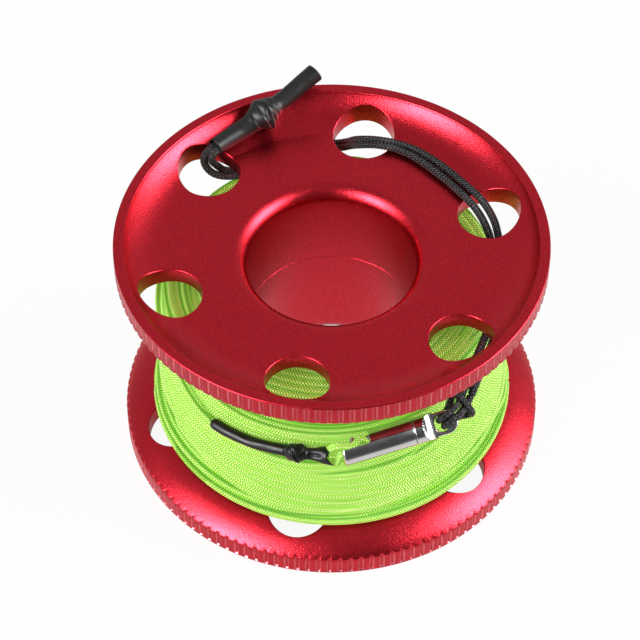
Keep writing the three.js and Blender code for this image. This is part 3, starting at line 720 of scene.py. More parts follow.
def quarter(centre_r, centre_z, radius, start, end, steps):
    """Points of an arc as (radius, depth) pairs, between two angles in degrees."""
    angle = np.radians(np.linspace(start, end, steps + 1))
    return list(zip(centre_r + radius * np.cos(angle), centre_z + radius * np.sin(angle)))


# One notch and the land beside it, as shares of the pitch and of the notch's depth. Its corners are rounded.
notch_place_shares = np.array([
    0, 0.14, 0.25, 0.29, 0.33, 0.37, 0.42, 0.58, 0.63, 0.67, 0.71, 0.75, 0.86, 0.93,
])
notch_depth_shares = np.array([0, 0, 0.02, 0.14, 0.5, 0.86, 1, 1, 0.86, 0.5, 0.14, 0.02, 0, 0])
ring_steps = hole_count * outer_steps
border_start = hole_start - sector_angle / 2


def notched_ring(profile):
    """The rim's skin. Each (radius, depth, notch share, rise) row runs round the axis and moves in at every
    notch by share x dip, and its depth changes by rise x dip, because the face beside the notch slopes. The
    notches are open towards the line and end in a small arch just short of the outer face."""
    pitch = 2 * math.pi / notch_count
    angle = (np.arange(notch_count)[:, None] + notch_place_shares).ravel() * pitch + border_start
    dip = np.tile(notch_depth_shares, notch_count) * notch_depth
    profile = np.asarray(profile, float)
    r = profile[:, :1] - profile[:, 2:3] * dip
    z = profile[:, 1:2] + profile[:, 3:] * dip
    return np.stack([r * np.cos(angle), r * np.sin(angle), z], -1), [quads(len(profile), len(angle))]


def stepping_ring(few, many):
    """Joins two rings of different counts that start at the same angle: each quad's far side holds as many
    points of the finer ring as fall in it, so the faces are fans from the coarse ring's points."""
    n = len(few)
    m = len(many)
    home = np.round(np.arange(m) * n / m).astype(int) % n
    j = np.arange(m)
    nxt = (j + 1) % m
    fine_fans = np.stack([home[j], j + n, nxt + n], -1)
    steps = home[nxt] != home[j]
    coarse_fans = np.stack([home[j], nxt + n, home[nxt]], -1)[steps]
    return np.vstack([few, many]), [np.concatenate([fine_fans, coarse_fans])]


# %% One half of the spool
rim_land = 0.35
foot_width = 1.2
edge_mark_skin = 0.3


def back_depth(r):
    """Depth of the face towards the line at one radius."""
    return float(back_at(np.array(r)))


def spool_half(hub_outline, turned_over):
    """Closed mesh of a half: the hub's outline joins its two faces near the axis, the rim outside."""
    blocks = []
    for sector in range(hole_count):
        blocks += [hole_sector(dish_at, sector), hole_sector(back_at, sector), hole_wall(sector)]
    blocks.append(turned_ring(hub_outline, hole_count * inner_steps, border_start))
    step_r = rim_inner + rim_lip + rim_land
    foot_r = flange_radius - notch_depth - foot_width
    slope_run = 0.4
    slope_rise = (back_depth(flange_radius - slope_run) - back_depth(flange_radius)) / slope_run
    slope = [(r, float(dish_at(np.array(r)))) for r in np.linspace(patch_outer, rim_inner, 4)]
    lip = quarter(rim_inner + rim_lip, rim_lip, rim_lip, 180, 270, 3)[1:]
    top_ring = turned_ring(slope + lip + [(step_r, 0)], ring_steps, border_start)
    foot = [(r, back_depth(r)) for r in np.linspace(patch_outer, foot_r, 6)]
    foot_ring = turned_ring(foot, ring_steps, border_start)
    inside = flange_radius - edge_break
    skin = [(step_r + 0.4, 0, 0, 0), (inside - 0.12, 0, 0, 0)]
    skin += [(r, z, 0, 0) for r, z in quarter(inside, edge_break, edge_break, -90, 0, 3)]
    arch = ((0.32, 0), (0.42, 0.45), (0.55, 0.75), (0.72, 0.93), (0.95, 1))
    skin += [(flange_radius, z, share, 0) for z, share in arch]
    skin += [(flange_radius, rim_height * share, 1, 0) for share in (0.3, 0.5, 0.7)]
    lower_edge = quarter(inside, rim_height + 0.12 - edge_break, edge_break, 0, 48, 2)
    skin += [(r, z, 1, slope_rise) for r, z in lower_edge]
    skin += [(r, back_depth(r), 0, 0) for r in (foot_r + 0.5, foot_r + 0.3)]
    rim = notched_ring(skin)
    blocks += [top_ring, foot_ring, rim]
    blocks.append(stepping_ring(top_ring[0][-1], rim[0][0]))
    blocks.append(stepping_ring(foot_ring[0][-1], rim[0][-1]))
    points, faces = welded(blocks)
    height = points[:, 2].copy()
    if turned_over:
        points[:, 2] = spool_height - height
    mesh = new_mesh(points, faces)
    # The notches' edges are marked for a lighter colour: partly real wear of the anodising on the sharp
    # edges, partly a painted highlight of the light that their rounded corners catch.
    dip = (flange_radius - np.hypot(points[:, 0], points[:, 1])) / notch_depth
    on_rim = (dip < 1.01) & (height > edge_mark_skin) & (height < rim_height - edge_mark_skin / 2)
    worn = np.where(on_rim, 4 * dip * (1 - dip), 0).clip(0, 1)
    mesh.attributes.new("worn", "FLOAT", "POINT").data.foreach_set("value", worn.astype(np.float32))
    return outward(mesh)


hub_fillet = 0.6
lip_arc = quarter(bore_radius + bore_lip, dish_depth + bore_lip, bore_lip, 180, 270, 10)
floor_run = [(r, dish_depth) for r in np.linspace(bore_radius + bore_lip, patch_inner, 6)[1:]]
back_in = [(patch_inner, inner_face), ((patch_inner + hub_radius) / 2, inner_face)]
hub_start = back_in + quarter(hub_radius + hub_fillet, inner_face + hub_fillet, hub_fillet, 270, 180, 4)
joint_break = 0.05
spigot_break = 0.15
spigot_outline = hub_start + [
    (hub_radius, hub_split), (spigot_radius, hub_split), (spigot_radius, bore_split - spigot_break),
    (spigot_radius - spigot_break, bore_split), (bore_radius + joint_break, bore_split),
    (bore_radius, bore_split - joint_break), (bore_radius, 20), (bore_radius, 14),
] + lip_arc + floor_run
socket_radius = spigot_radius + half_gap
upper_bore_end = spool_height - bore_split - half_gap / 4
upper_hub_end = spool_height - hub_split - half_gap
socket_outline = hub_start + [
    (hub_radius, upper_hub_end), (socket_radius, upper_hub_end), (socket_radius, upper_bore_end),
    (bore_radius + joint_break, upper_bore_end), (bore_radius, upper_bore_end - joint_break),
    (bore_radius, 18), (bore_radius, 12),
] + lip_arc + floor_run

# %% [markdown]
# ## Anodised aluminium
# The halves are turned, blasted with fine beads and anodised, then dyed red and sealed. The beads leave
# dimples about a tenth of a millimetre across, which spread the light into a satin glow with a fine
# sparkle. The dye sits in a clear oxide, so the metal's own reflection turns red. A metal keeps the default
# IOR. Dimples of a tenth of a millimetre are too fine for this picture, so they are drawn three times as
# coarse, to show.

# %% Anodised aluminium material
def anodised_aluminium(name, colour, worn_and_lit_edge_colour, roughness, dimple, depth):
    """Dyed oxide on blasted aluminium: a metal with dimples of a size in mm, and drifts in its satin."""
    material, tree, surface = new_material(name, {"Metallic": 1.0})
    place_on = add(tree, "TexCoord").outputs["Object"]
    beads = add(tree, "TexNoise", {"Vector": place_on, "Scale": 1 / (dimple * MM), "Detail": 2.0})
    drift = add(tree, "TexNoise", {"Vector": place_on, "Scale": 1 / (9 * MM), "Detail": 3.0})
    shade = add(tree, "MapRange", {"Value": beads, 1: 0.3, 2: 0.7, 3: 0.78, 4: 1.22})
    tint = add(tree, "Mix", {0: 1.0, 6: linear(colour), 7: shade}, data_type="RGBA", blend_type="MULTIPLY")
    # Partly wear and partly painted highlight: the marked notch edges turn light pink, more where the satin
    # drifts.
    worn = add(tree, "Attribute", attribute_name="worn").outputs["Fac"]
    patchy = add(tree, "Math", {0: drift, 1: 0.3}, operation="ADD")
    edge_wear_and_highlight = add(tree, "Math", {0: worn, 1: patchy}, operation="MULTIPLY")
    worn_and_lit_edge = add(tree, "Mix", {0: edge_wear_and_highlight, 6: tint.outputs[2], 7: linear(worn_and_lit_edge_colour)}, data_type="RGBA")
    satin = add(tree, "MapRange", {"Value": drift, 1: 0.3, 2: 0.7, 3: roughness - 0.02, 4: roughness + 0.03})
    bump = add(tree, "Bump", {"Height": beads, "Distance": depth * MM, "Strength": 0.5})
    set_inputs(surface, {"Base Color": worn_and_lit_edge.outputs[2], "Roughness": satin, "Normal": bump})
    return material


red_anodising = anodised_aluminium(
    # The second colour is that of the notches' edges: worn anodising with a painted highlight.
    "red_anodised_aluminium", "#BC2632", "#E88E98", roughness=0.29, dimple=0.3, depth=0.11
)
for name, outline, turned_over, node in (
    ("lower_half", spigot_outline, False, "lower_spool_half"),
    ("upper_half", socket_outline, True, "upper_spool_half"),
):
    half_mesh = spool_half(outline, turned_over)
    place(name, half_mesh, "spool", red_anodising, [node], sharp=35)

# %% [markdown]
# ## The wound line
# Line that is wound by hand never lies in even rows. It goes on in bundles of a few turns, and each bundle
# leans its own way, so bundles cross and leave slim gaps between them. This is laid here as a winder would
# do it. A map keeps the height of the winding at every angle and level. Each new turn rests on the highest
# point under it, bridges the dips that it can't follow, and then raises the map by its own round back.

# %% Shape of the winding
line_width = 1.9
line_thickness = 1.25
wound_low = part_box("line_outer_layer")[0].z / MM
wound_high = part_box("line_outer_layer")[1].z / MM + 0.6
outer_radius = 38.9
foot_spread = 2.6
shoulder_fall = 2.2
winding_build = 6.4
proud = 0.25
front_spread = 1.0


def up_share(z):
    """Share of the way from the winding's foot, 0, to its shoulder, 1."""
    return np.clip((z - wound_low) / (wound_high - wound_low), 0, 1)


def wound_outline(z):
    """Outer radius of the winding at a level: it spreads at the foot and rounds in at the shoulder."""
    share = up_share(z)
    return outer_radius + foot_spread * (1 - share) ** 5 - shoulder_fall * share**6


# Bundles in the order they are wound: level at the start, turns, climb per turn, lean in mm, lowest angle.
bundles = [
    (11.0, 20, 1.86, 0.6, 250),
    (45.2, 6, -1.80, 1.6, 280),
    (34.0, 7, -1.85, 4.0, 255),
    (22.0, 6, -1.85, 2.0, 285),
    (13.0, 5, 1.85, 1.2, 262),
    (22.4, 6, 1.85, 8.6, 284),
    (33.0, 5, 1.85, 7.4, 250),
    (41.6, 3, 1.85, 2.4, 275),
    (38.0, 5, -1.88, 9.0, 262),
    (25.0, 4, 1.90, 11.0, 275),
    (33.5, 4, -1.90, 10.0, 255),
    (24.5, 3, 1.90, 12.6, 268),
    (42.0, 3, -1.85, 3.5, 240),
    (36.4, 3, 1.85, 5.0, 300),
    (31.0, 4, -1.90, 12.0, 272),
    (44.4, 2, -1.80, 2.0, 262),
    (46.2, 1, 0.0, 0.3, 270),
    (14.4, 3, -1.86, 1.4, 270),
]
turn_steps = 160
level_step = 0.2


def winding_levels():
    """Level of the line at every step of every turn: level + climb - lean cos(angle - lowest angle), where
    level, lean and lowest angle run straight from one turn to the next."""
    level, lean, lowest = np.array([
        (start + k * climb, tilt, math.radians(angle))
        for start, turns, climb, tilt, angle in bundles for k in range(turns)
    ]).T
    at = np.arange(len(level) * turn_steps) / turn_steps
    turns_so_far = np.arange(len(level))
    level, lean, lowest = (np.interp(at, turns_so_far, row) for row in (level, lean, lowest))
    angle = at * 2 * math.pi
    wander = 0.16 * np.sin(3.1 * angle / (2 * math.pi) * 2.4 + 1.3) + 0.1 * np.sin(0.73 * angle)
    z = level - lean * np.cos(angle - lowest) + wander
    return np.clip(z, wound_low + line_width / 2, wound_high - line_width / 2).reshape(-1, turn_steps)


def lay_turns(levels):
    """Radius of the middle of the line at every step, from a height map that each turn rests on and raises.
    No turn stands out past the outline, which spreads at the foot a little more towards the front, -Y."""
    z = np.arange(wound_low - 1, wound_high + 1, level_step)
    height = np.tile(wound_outline(z) - winding_build, (turn_steps, 1))
    to_front = np.clip(-np.sin(np.arange(turn_steps) * 2 * math.pi / turn_steps), 0, 1) ** 2
    limit = wound_outline(levels) + proud - line_thickness / 2
    limit = limit + front_spread * to_front * (1 - up_share(levels)) ** 5
    reach = turn_steps // 30
    kernel = np.hanning(2 * reach + 3)[1:-1]
    kernel = kernel / kernel.sum()
    radius = []
    for level, furthest in zip(levels, limit):
        across = (z[None] - level[:, None]) / (line_width / 2)
        under = np.where(np.abs(across) < 0.75, height, -np.inf).max(1)
        wide = np.concatenate([under[-2 * reach :], under, under[: 2 * reach]])
        peak = np.max([np.roll(wide, k) for k in range(-reach, reach + 1)], axis=0)
        soft = np.convolve(peak, kernel, "same")[2 * reach : -2 * reach]
        middle = np.minimum(np.maximum(soft, under) + line_thickness / 2, furthest)
        back_of_line = middle[:, None] + line_thickness / 2 * np.sqrt(np.clip(1 - across**2, 0, 1))
        height = np.where(np.abs(across) < 1, np.maximum(height, back_of_line), height)
        radius.append(middle)
    return np.array(radius)


# %% The turns as one braided tube
def line_rings(route, outward_way, sides):
    """Rings of the line's pressed section, an oval with fuller corners, |cos a| ** 0.95 and |sin a| **
    0.95: wide along the drum and thin away from it."""
    along = unit(np.gradient(route, axis=0))
    across = np.cross(along, square_to(along, outward_way))
    return oval_rings(route, across, line_width / 2, -line_thickness / 2, sides, fullness=0.95)


def around_drum(radius, angle, z):
    """Points at radii, angles and levels round the spool's axis."""
    return np.stack([radius * np.cos(angle), radius * np.sin(angle), z], -1)


levels = winding_levels()
radius_of_turns = lay_turns(levels)
turn_angle = np.tile(np.arange(turn_steps) * 2 * math.pi / turn_steps, len(levels))
whole_route = around_drum(radius_of_turns.ravel(), turn_angle, levels.ravel())
from_axis = np.array([1, 1, 0])
inner_turns = 26
outer_start = 52
print("turns of line", len(levels), "radius at the last turns mm", radius_of_turns[-12:].mean().round(2))
for name, first, last, nodes in (
    ("line_turns_below", 0, inner_turns * turn_steps, []),
    ("line_turns_middle", inner_turns * turn_steps - 1, outer_start * turn_steps, []),
    ("line_turns_outer", outer_start * turn_steps - 1, len(whole_route), ["line_outer_layer"]),
):
    route = whole_route[first:last]
    tube = capped_tube(route, line_rings(route, route * from_axis, 14))
    place(name, tube, "spool", line_braid, nodes)

# %% [markdown]
# The ends of the winding show too: the upper one through the holes of the upper flange, the lower one from
# below. There the line lies in rings on the last turns of the layers inside, so a flat spiral closes each
# end over a plain core.

# %% Ends of the winding and its core
def end_spiral(name, level, rise):
    """A flat spiral of line: after one turn at the shoulder r falls by a width a turn, and z waves."""
    start_r = float(wound_outline(np.array(level))) - line_width / 2 - 0.1
    turns = 1 + int((start_r - hub_radius - 1.2) / line_width)
    at = np.arange(turns * 120 + 1) / 120
    r = start_r - np.maximum(at - 1, 0) * line_width + 0.25 * np.sin(at * 2 * math.pi * 1.13)
    z = level + rise * (0.35 * np.sin(at * 7.1 + 0.5) - 0.25 * at / turns - 0.4)
    route = around_drum(r, at * 2 * math.pi + 0.8, z)
    up = np.broadcast_to(np.array([0, 0, float(rise)]), route.shape)
    place(name, capped_tube(route, line_rings(route, up, 10)), "spool", line_braid)


end_spiral("line_end_upper", wound_high - line_thickness / 2, 1)
end_spiral("line_end_lower", wound_low + line_thickness / 2, -1)

core_levels = np.linspace(wound_low + line_thickness, wound_high - line_thickness, 25)
core_outline = [(float(wound_outline(z)) - winding_build + 0.2, z) for z in core_levels]
core_outline = [(hub_radius + 0.3, core_levels[0])] + core_outline + [(hub_radius + 0.3, core_levels[-1])]
core_outline.append(core_outline[0])
core_mesh = outward(new_mesh(*welded([turned_ring(core_outline, 96, 0)])))
# The line inside is a darker green than the line's own colour: painted shade for the depth between the turns.
core_shaded_green = new_material("line_inside_painted_shade", {"Roughness": 0.8, "Base Color": linear("#5FB81E")})[0]
place("line_layers_inside", core_mesh, "spool", core_shaded_green, ["line_core"])

# %% [markdown]
# ## The lead
# The last stretch of line leaves the groove on the left, crosses its own turns and runs down into its
# sleeve. It is the same pressed line, so it takes the same section and braid.

# %% Lead
lead_points = from_rim([
    (163.38, 12, 13.4), (168.01, 11.4, 12.8), (174.05, 10.4, 12.9), (-178.96, 9.59, 13.7),
    (-171.02, 8.92, 15.1), (-162.02, 8.47, 17), (-152.98, 8.15, 19.2), (-144.93, 7.8, 21.7),
    (-139.92, 7.62, 23.6), (-135, 7.55, 25.3), (-131.48, 7.69, 26.3),
])
lead_route = smooth_route(lead_points, 0.2)
lead_tube = capped_tube(lead_route, line_rings(lead_route, lead_route * from_axis, 16))
place("line_lead_strand", lead_tube, "spool", line_braid, ["line_lead"])
print("lead length mm", round(float(lengths_along(lead_route)[-1]), 1))

# %% [markdown]
# ## Loop of line on the clip
# The line ends in a tied loop. Its upper strand leaves the sleeve, runs along the open seat of the clip's
# barrel and passes round the peg under the gate pin. The lower strand comes back on the hidden side of the
# seat and turns down into the sleeve past the barrel's end. When the clip swivels the strands twist. The
# piece's points at the sleeve's mouth are given in the spool's frame, those at the barrel in the clip's
# frame, and it turns smoothly between.

# %% Loop
loop_width = 1.7
loop_thickness = 1.2
loop_relief = 0.06
loop_sides = 28
loop_points = np.vstack([
    from_rim([(-93.4, 7.7, 24.75), (-92.2, 7.85, 24.6), (-91.1, 7.9, 24.1), (-89.7, 6.9, 21.9)]),
    in_barrel([
        (-0.6, -1.4, 1.3), (1.2, -1.75, 0.5), (2.6, -1.8, 0.15), (3.8, -1.8, 0.75), (4.7, -1.7, 1.25),
        (5.35, -1.3, 0.95), (5.6, -0.6, 0.4), (5.6, 0.1, 0.3), (5.2, 0.9, 0.3), (4.4, 1.5, 0.3),
        (3.2, 1.75, 0.25), (1.4, 1.75, 0.25), (-0.1, 1.85, 0.35),
    ]),
    from_rim([
        (-87.5, 5.9, 24.4), (-88.3, 6.3, 26.3), (-89.6, 6.6, 26.6), (-91.1, 6.45, 26.0), (-92.2, 6.6, 25.7),
        (-93.4, 6.8, 25.5),
    ]),
])
loop_route = smooth_route(loop_points, 0.12)
loop_skin = loop_relief * braid_relief(lengths_along(loop_route), loop_sides, line_carriers, line_pitch)
loop_wide_way = np.broadcast_to(in_barrel([(0, 0, 1)])[0] - barrel_origin, loop_route.shape)
loop_grid = oval_rings(
    loop_route, loop_wide_way, loop_width / 2, loop_thickness / 2, loop_sides, relief=loop_skin
)
loop_tube = capped_tube(loop_route, loop_grid)
loop = place("line_loop_strand", loop_tube, None, line_braid, ["line_loop"])
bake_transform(loop)
print("loop length mm", round(float(lengths_along(loop_route)[-1]), 1))

# %% [markdown]
# ## Shrunk tube
# Both knots are covered with tube that was slid on and shrunk with hot air. It draws tight over everything
# inside, so a knot shows as lumps with creases between them, and it keeps a slight shine. The tube is a
# grid of stations along its axis by angles round it. Its radius is the tight radius plus a sum of bumps,
# each height x exp(-(ds / length) ** 2 - (aside / spread) ** 2), with ds the distance from the bump along
# the tube and aside the angle from it. The skin turns in over a rounded lip and runs back inside, so the
# tube is a real, thin wall.

# %% Shrunk tube material
def shrunk_tube_material(name, colour, roughness):
    """Polyolefin, soft and slightly waxy: a fine orange-peel grain of 0.35 mm that roughens the shine."""
    plain = {"Base Color": linear(colour), "Specular IOR Level": 0.25}
    material, tree, surface = new_material(name, plain)
    place_on = add(tree, "TexCoord").outputs["Object"]
    grain = add(tree, "TexNoise", {"Vector": place_on, "Scale": 1 / (0.35 * MM), "Detail": 3.0})
    dust = add(tree, "TexNoise", {"Vector": place_on, "Scale": 1 / (2.2 * MM), "Detail": 4.0})
    lift = add(tree, "Bump", {"Height": grain, "Distance": 0.03 * MM, "Strength": 0.5})
    worn = add(tree, "MapRange", {"Value": dust, 1: 0.3, 2: 0.7, 3: roughness - 0.06, 4: roughness + 0.08})
    set_inputs(surface, {"Normal": lift, "Roughness": worn})
    return material


charcoal_tube = shrunk_tube_material("charcoal_shrunk_tube", "#1E1E1F", 0.42)
black_tube = shrunk_tube_material("black_shrunk_tube", "#161618", 0.36)


# %% Shrunk tube shape
def bumps_at(s, phi, bumps):
    """Sum of bumps at lengths s and angles phi in degrees. A bump is (s, phi, height, length, spread, slant
    in degrees a mm): its middle angle follows the slant along the tube."""
    total = np.zeros(np.broadcast_shapes(s.shape, phi.shape))
    for middle, angle, height, length, spread, slant in bumps:
        aside = (phi - angle - slant * (s - middle) + 180) % 360 - 180
        total = total + height * np.exp(-(((s - middle) / length) ** 2) - (aside / spread) ** 2)
    return total


def shrunk_tube(route, stations, radii, wall, bumps, closed_start, tip=0.0, tip_angle=0.0, sides=96):
    """Closed mesh of a tube of a wall along a route. Stations and radii give the tight radius at lengths.
    The open end reaches tip mm further at two opposite angles, like a fish's mouth."""
    length = lengths_along(route)
    end = length[-1]
    dome = np.array([0.004, 0.03, 0.1, 0.22, 0.4, 0.62, 0.88, 1.16]) if closed_start else np.array([0.0])
    outer = np.concatenate([dome, np.arange(dome[-1] + 0.2, end - 0.1, 0.16), [end]])
    inner = outer[outer > (2 * wall if closed_start else -1)][::-1]
    lip = np.radians([60, 30, 0, -30, -60])
    rows_s = np.concatenate([outer, np.full(5, end), inner])
    ahead = np.concatenate([np.zeros(len(outer)), wall / 2 * np.cos(lip), np.zeros(len(inner))])
    depth = np.concatenate([np.zeros(len(outer)), wall / 2 * (1 - np.sin(lip)), np.full(len(inner), wall)])
    if not closed_start:
        rows_s = np.concatenate([rows_s, np.full(5, 0.0)])
        ahead = np.concatenate([ahead, -wall / 2 * np.cos(lip)])
        depth = np.concatenate([depth, wall / 2 * (1 + np.sin(lip))])
    phi = np.arange(sides) * 360 / sides
    mouth_run = 2.2
    fine_s = np.linspace(0, end, 400)
    kernel = np.hanning(27)[1:-1]
    tight = np.pad(np.interp(fine_s, stations, radii), len(kernel) // 2, mode="edge")
    tight = np.convolve(tight, kernel / kernel.sum(), "valid")
    radius = np.interp(rows_s, fine_s, tight)[:, None] + bumps_at(rows_s[:, None], phi[None], bumps)
    radius = radius - depth[:, None]
    if closed_start:
        run = np.clip((rows_s - 2 * wall * (depth >= wall)) / radii[0], 0.0001, 1)
        radius = radius * np.sqrt(1 - (1 - run) ** 2)[:, None]
    stretch = np.clip((rows_s - (end - mouth_run)) / mouth_run, 0, 1) ** 2
    forward = ahead[:, None] + tip * stretch[:, None] * np.abs(np.cos(np.radians(phi - tip_angle))) ** 1.6
    along_route = unit(np.gradient(route, axis=0))
    middle = np.stack([np.interp(rows_s, length, route[:, k]) for k in range(3)], -1)
    along = unit(np.stack([np.interp(rows_s, length, along_route[:, k]) for k in range(3)], -1))
    up = square_to(along, np.array([0.0, 0.0, 1.0]))
    side = np.cross(along, up)
    spoke = up[:, None] * np.cos(np.radians(phi))[:, None] + side[:, None] * np.sin(np.radians(phi))[:, None]
    grid = middle[:, None] + forward[..., None] * along[:, None] + radius[..., None] * spoke
    points = grid.reshape(-1, 3)
    faces = [quads(len(rows_s), sides)]
    j = np.arange(sides)
    right = (j + 1) % sides
    n = len(points)
    last = n - sides
    if closed_start:
        points = np.vstack([points, route[0], middle[-1]])
        faces.append(np.stack([right, j, np.full(sides, n)], -1))
        faces.append(np.stack([last + j, last + right, np.full(sides, n + 1)], -1))
    else:
        faces.append(np.stack([last + j, last + right, right, j], -1))
    return outward(new_mesh(points, faces))


# %% [markdown]
# ## The lanyard's sleeve
# The charcoal tube starts over the two strands where they leave the hole, swells over the stopper knot, and
# ends in a cut end that stands past the rim. Its knot has one high lump at the upper left, one at the lower
# right and creases where the cords cross.

# %% Lanyard sleeve
sleeve_points = from_rim([
    (131.55, 8.05, 2.2), (127.5, 7.92, 2.1), (121.96, 7.57, 1.9), (117.82, 7.29, 1.3), (115.07, 6.93, 0.7),
    (112.37, 6.48, 0.3), (109.33, 5.72, -0.1), (106.96, 5.14, -0.5), (104.04, 4.3, -1.2), (99.19, 2.31, -2.6),
    (94.8, 0.23, -4),
])
sleeve_shares = np.array([1.04, 1.08, 1.15, 1.14, 1.38, 1.74, 1.5, 1.04, 1.04, 1.06, 1.12])
sleeve_radius = 1.95
tube_wall = 0.3
tube_spacing = 0.05


def stations_of(points, route):
    """Lengths along a route at which it passes given points."""
    length = lengths_along(route)
    return np.array([length[np.linalg.norm(route - point, axis=1).argmin()] for point in points])


sleeve_route = smooth_route(sleeve_points, tube_spacing)
sleeve_stations = stations_of(sleeve_points, sleeve_route)
knot_at = sleeve_stations[5]
print("lanyard sleeve's length mm", lengths_along(sleeve_route)[-1].round(1), "knot at", knot_at.round(1))
sleeve_bumps = [
    (knot_at - 0.4, -55, 0.55, 1.5, 45, 0), (knot_at + 0.1, 120, 0.75, 1.3, 38, 0),
    (knot_at + 0.9, 20, 0.45, 0.8, 32, 0), (knot_at - 1.3, 60, 0.35, 0.8, 30, 0),
    (knot_at + 0.1, 62, -0.55, 0.5, 26, -45), (knot_at + 1.0, 85, -0.35, 0.3, 34, 0),
    (knot_at - 0.7, 30, -0.35, 0.35, 30, 0), (knot_at - 0.4, 92, -0.4, 0.3, 20, 60),
    (knot_at + 2.4, 70, -0.28, 0.4, 60, 0), (knot_at + 3.0, 10, 0.12, 0.5, 40, 0),
    (knot_at - 2.6, 40, -0.22, 0.4, 60, 0), (knot_at - 4.0, 90, 0.14, 1.6, 35, 0),
    (knot_at + 6.0, 30, -0.16, 2.4, 40, 0), (knot_at - 6.5, 20, -0.14, 1.5, 40, 0),
]
lanyard_tube = shrunk_tube(
    sleeve_route, sleeve_stations, sleeve_radius * sleeve_shares, tube_wall, sleeve_bumps, closed_start=False,
    tip=0.25, tip_angle=60,
)
lanyard_sleeve = place(
    "lanyard_tube", lanyard_tube, "spool", charcoal_tube, ["lanyard_sleeve"],
)

# %% [markdown]
# ## The line's sleeve
# The black tube over the line's end is closed and rounded at the left. Over the knot it shows two lobes
# that wind round each other, with a deep crease between them. Then it narrows and flares, and its end gapes
# like a fish's mouth with two tips, dark inside.

# %% Line sleeve
line_sleeve_points = from_rim([
    (-130.77, 7.73, 26.4), (-125.31, 7.68, 26.3), (-119.55, 7.65, 26.1), (-114.09, 7.58, 25.9),
    (-109.06, 7.58, 25.6), (-104.31, 7.54, 25.3), (-102.67, 7.41, 25.2), (-100.78, 7.38, 25.1),
    (-98.93, 7.41, 25.1), (-97.37, 7.47, 25.2), (-94.67, 7.47, 25.2), (-92.96, 7.35, 25.1),
    (-91.26, 7.19, 25.1),
])
line_sleeve_shares = np.array([1, 1, 1, 1, 1, 1.05, 1.3, 1.5, 1.3, 1.0, 1.15, 1.5, 1.62])
line_sleeve_radius = 1.25
line_sleeve_route = smooth_route(line_sleeve_points, tube_spacing)
line_sleeve_stations = stations_of(line_sleeve_points, line_sleeve_route)
line_knot_at = line_sleeve_stations[7]
line_sleeve_length = lengths_along(line_sleeve_route)[-1]
print("line sleeve's length mm", line_sleeve_length.round(1), "knot at", line_knot_at.round(1))
line_sleeve_bumps = [
    (line_knot_at - 1.0, 10, 0.6, 0.9, 42, 30), (line_knot_at + 0.8, 120, 0.65, 0.9, 42, 30),
    (line_knot_at + 1.0, -50, 0.35, 0.8, 40, 0), (line_knot_at - 1.1, 150, 0.4, 0.9, 40, 0),
    (line_knot_at - 0.1, 62, -0.65, 1.5, 18, 52), (line_knot_at + 1.9, 30, -0.4, 0.4, 60, 0),
    (line_knot_at - 2.1, 60, -0.3, 0.35, 60, 0), (line_knot_at + 3.3, 48, -0.45, 1.1, 34, 0),
    (line_knot_at + 4.9, 50, -0.5, 1.0, 26, 0), (line_knot_at - 7, 60, -0.14, 2.5, 30, 0),
    (line_knot_at - 11.5, 10, -0.12, 2.0, 40, 0),
]
line_tube = shrunk_tube(
    line_sleeve_route, line_sleeve_stations, line_sleeve_radius * line_sleeve_shares, tube_wall,
    line_sleeve_bumps, closed_start=True, tip=1.5, tip_angle=-50,
)
place("line_tube", line_tube, "spool", black_tube, ["line_end_sleeve"])

# %% [markdown]
# ## The knots inside
# The tubes hide the knots, but they are there: each is an overhand knot, whose middle is the trefoil curve
# (sin t + 2 sin 2t, cos t - 2 cos 2t, -1.6 sin 3t), scaled to the room in the swelling.

# %% Hidden knots
def trefoil(centre, way, across, half_length, cord_radius):
    """Closed route of a tight overhand knot, whose farthest point with the cord's radius is at
    half_length."""
    t = np.linspace(0, 2 * np.pi, 121)[:-1]
    curve = np.stack([np.sin(t) + 2 * np.sin(2 * t), np.cos(t) - 2 * np.cos(2 * t), -1.6 * np.sin(3 * t)], -1)
    curve = curve / 3 * (half_length - cord_radius)
    way = unit(np.asarray(way, float))
    side = unit(np.cross(way, across))
    return centre + curve @ np.stack([way, side, np.cross(way, side)])


def knot_piece(name, route, radius, material, node):
    """A closed tube: its rings are worked out on a route that overlaps itself by a point at each end, and
    the last ring's faces lead back to the first ring."""
    sides = 16
    looped = np.vstack([route[-1:], route, route[:1]])
    grid = oval_rings(looped, looped - route.mean(0), radius, radius, sides)[1:-1]
    faces = quads(len(route) + 1, sides) % (len(route) * sides)
    mesh = new_mesh(grid.reshape(-1, 3), [faces], tube_uv(looped[1:], sides))
    return place(name, mesh, "spool", material, [node])


lanyard_knot_cord = 0.62
line_knot_cord = 0.42
lanyard_knot_way = sleeve_points[6] - sleeve_points[4]
lanyard_knot_route = trefoil(sleeve_points[5], lanyard_knot_way, (0, 0, 1), 2.3, lanyard_knot_cord)
lanyard_knot = knot_piece(
    "lanyard_knot_inside", lanyard_knot_route, lanyard_knot_cord, cord_braid, "lanyard_knot",
)
line_knot_way = line_sleeve_points[8] - line_sleeve_points[6]
line_knot_route = trefoil(line_sleeve_points[7], line_knot_way, (0, 0, 1), 1.4, line_knot_cord)
knot_piece("line_knot_inside", line_knot_route, line_knot_cord, line_braid, "line_loop_knot")

# %% [markdown]
# ## Steel
# The clip is turned from stainless steel bar and polished. The lathe leaves grooves a few hundredths of a
# millimetre apart, which draw a highlight out round the bar, and handling leaves faint smears that dull it.
# Such grooves are too fine for this picture, so they are drawn 0.12 mm apart, to show. They run round the
# clip's axis, so the bump reads the distance along that axis. The peg, the gate pin, the plug and the rivet
# keep their shapes from the solid model and only take this surface.

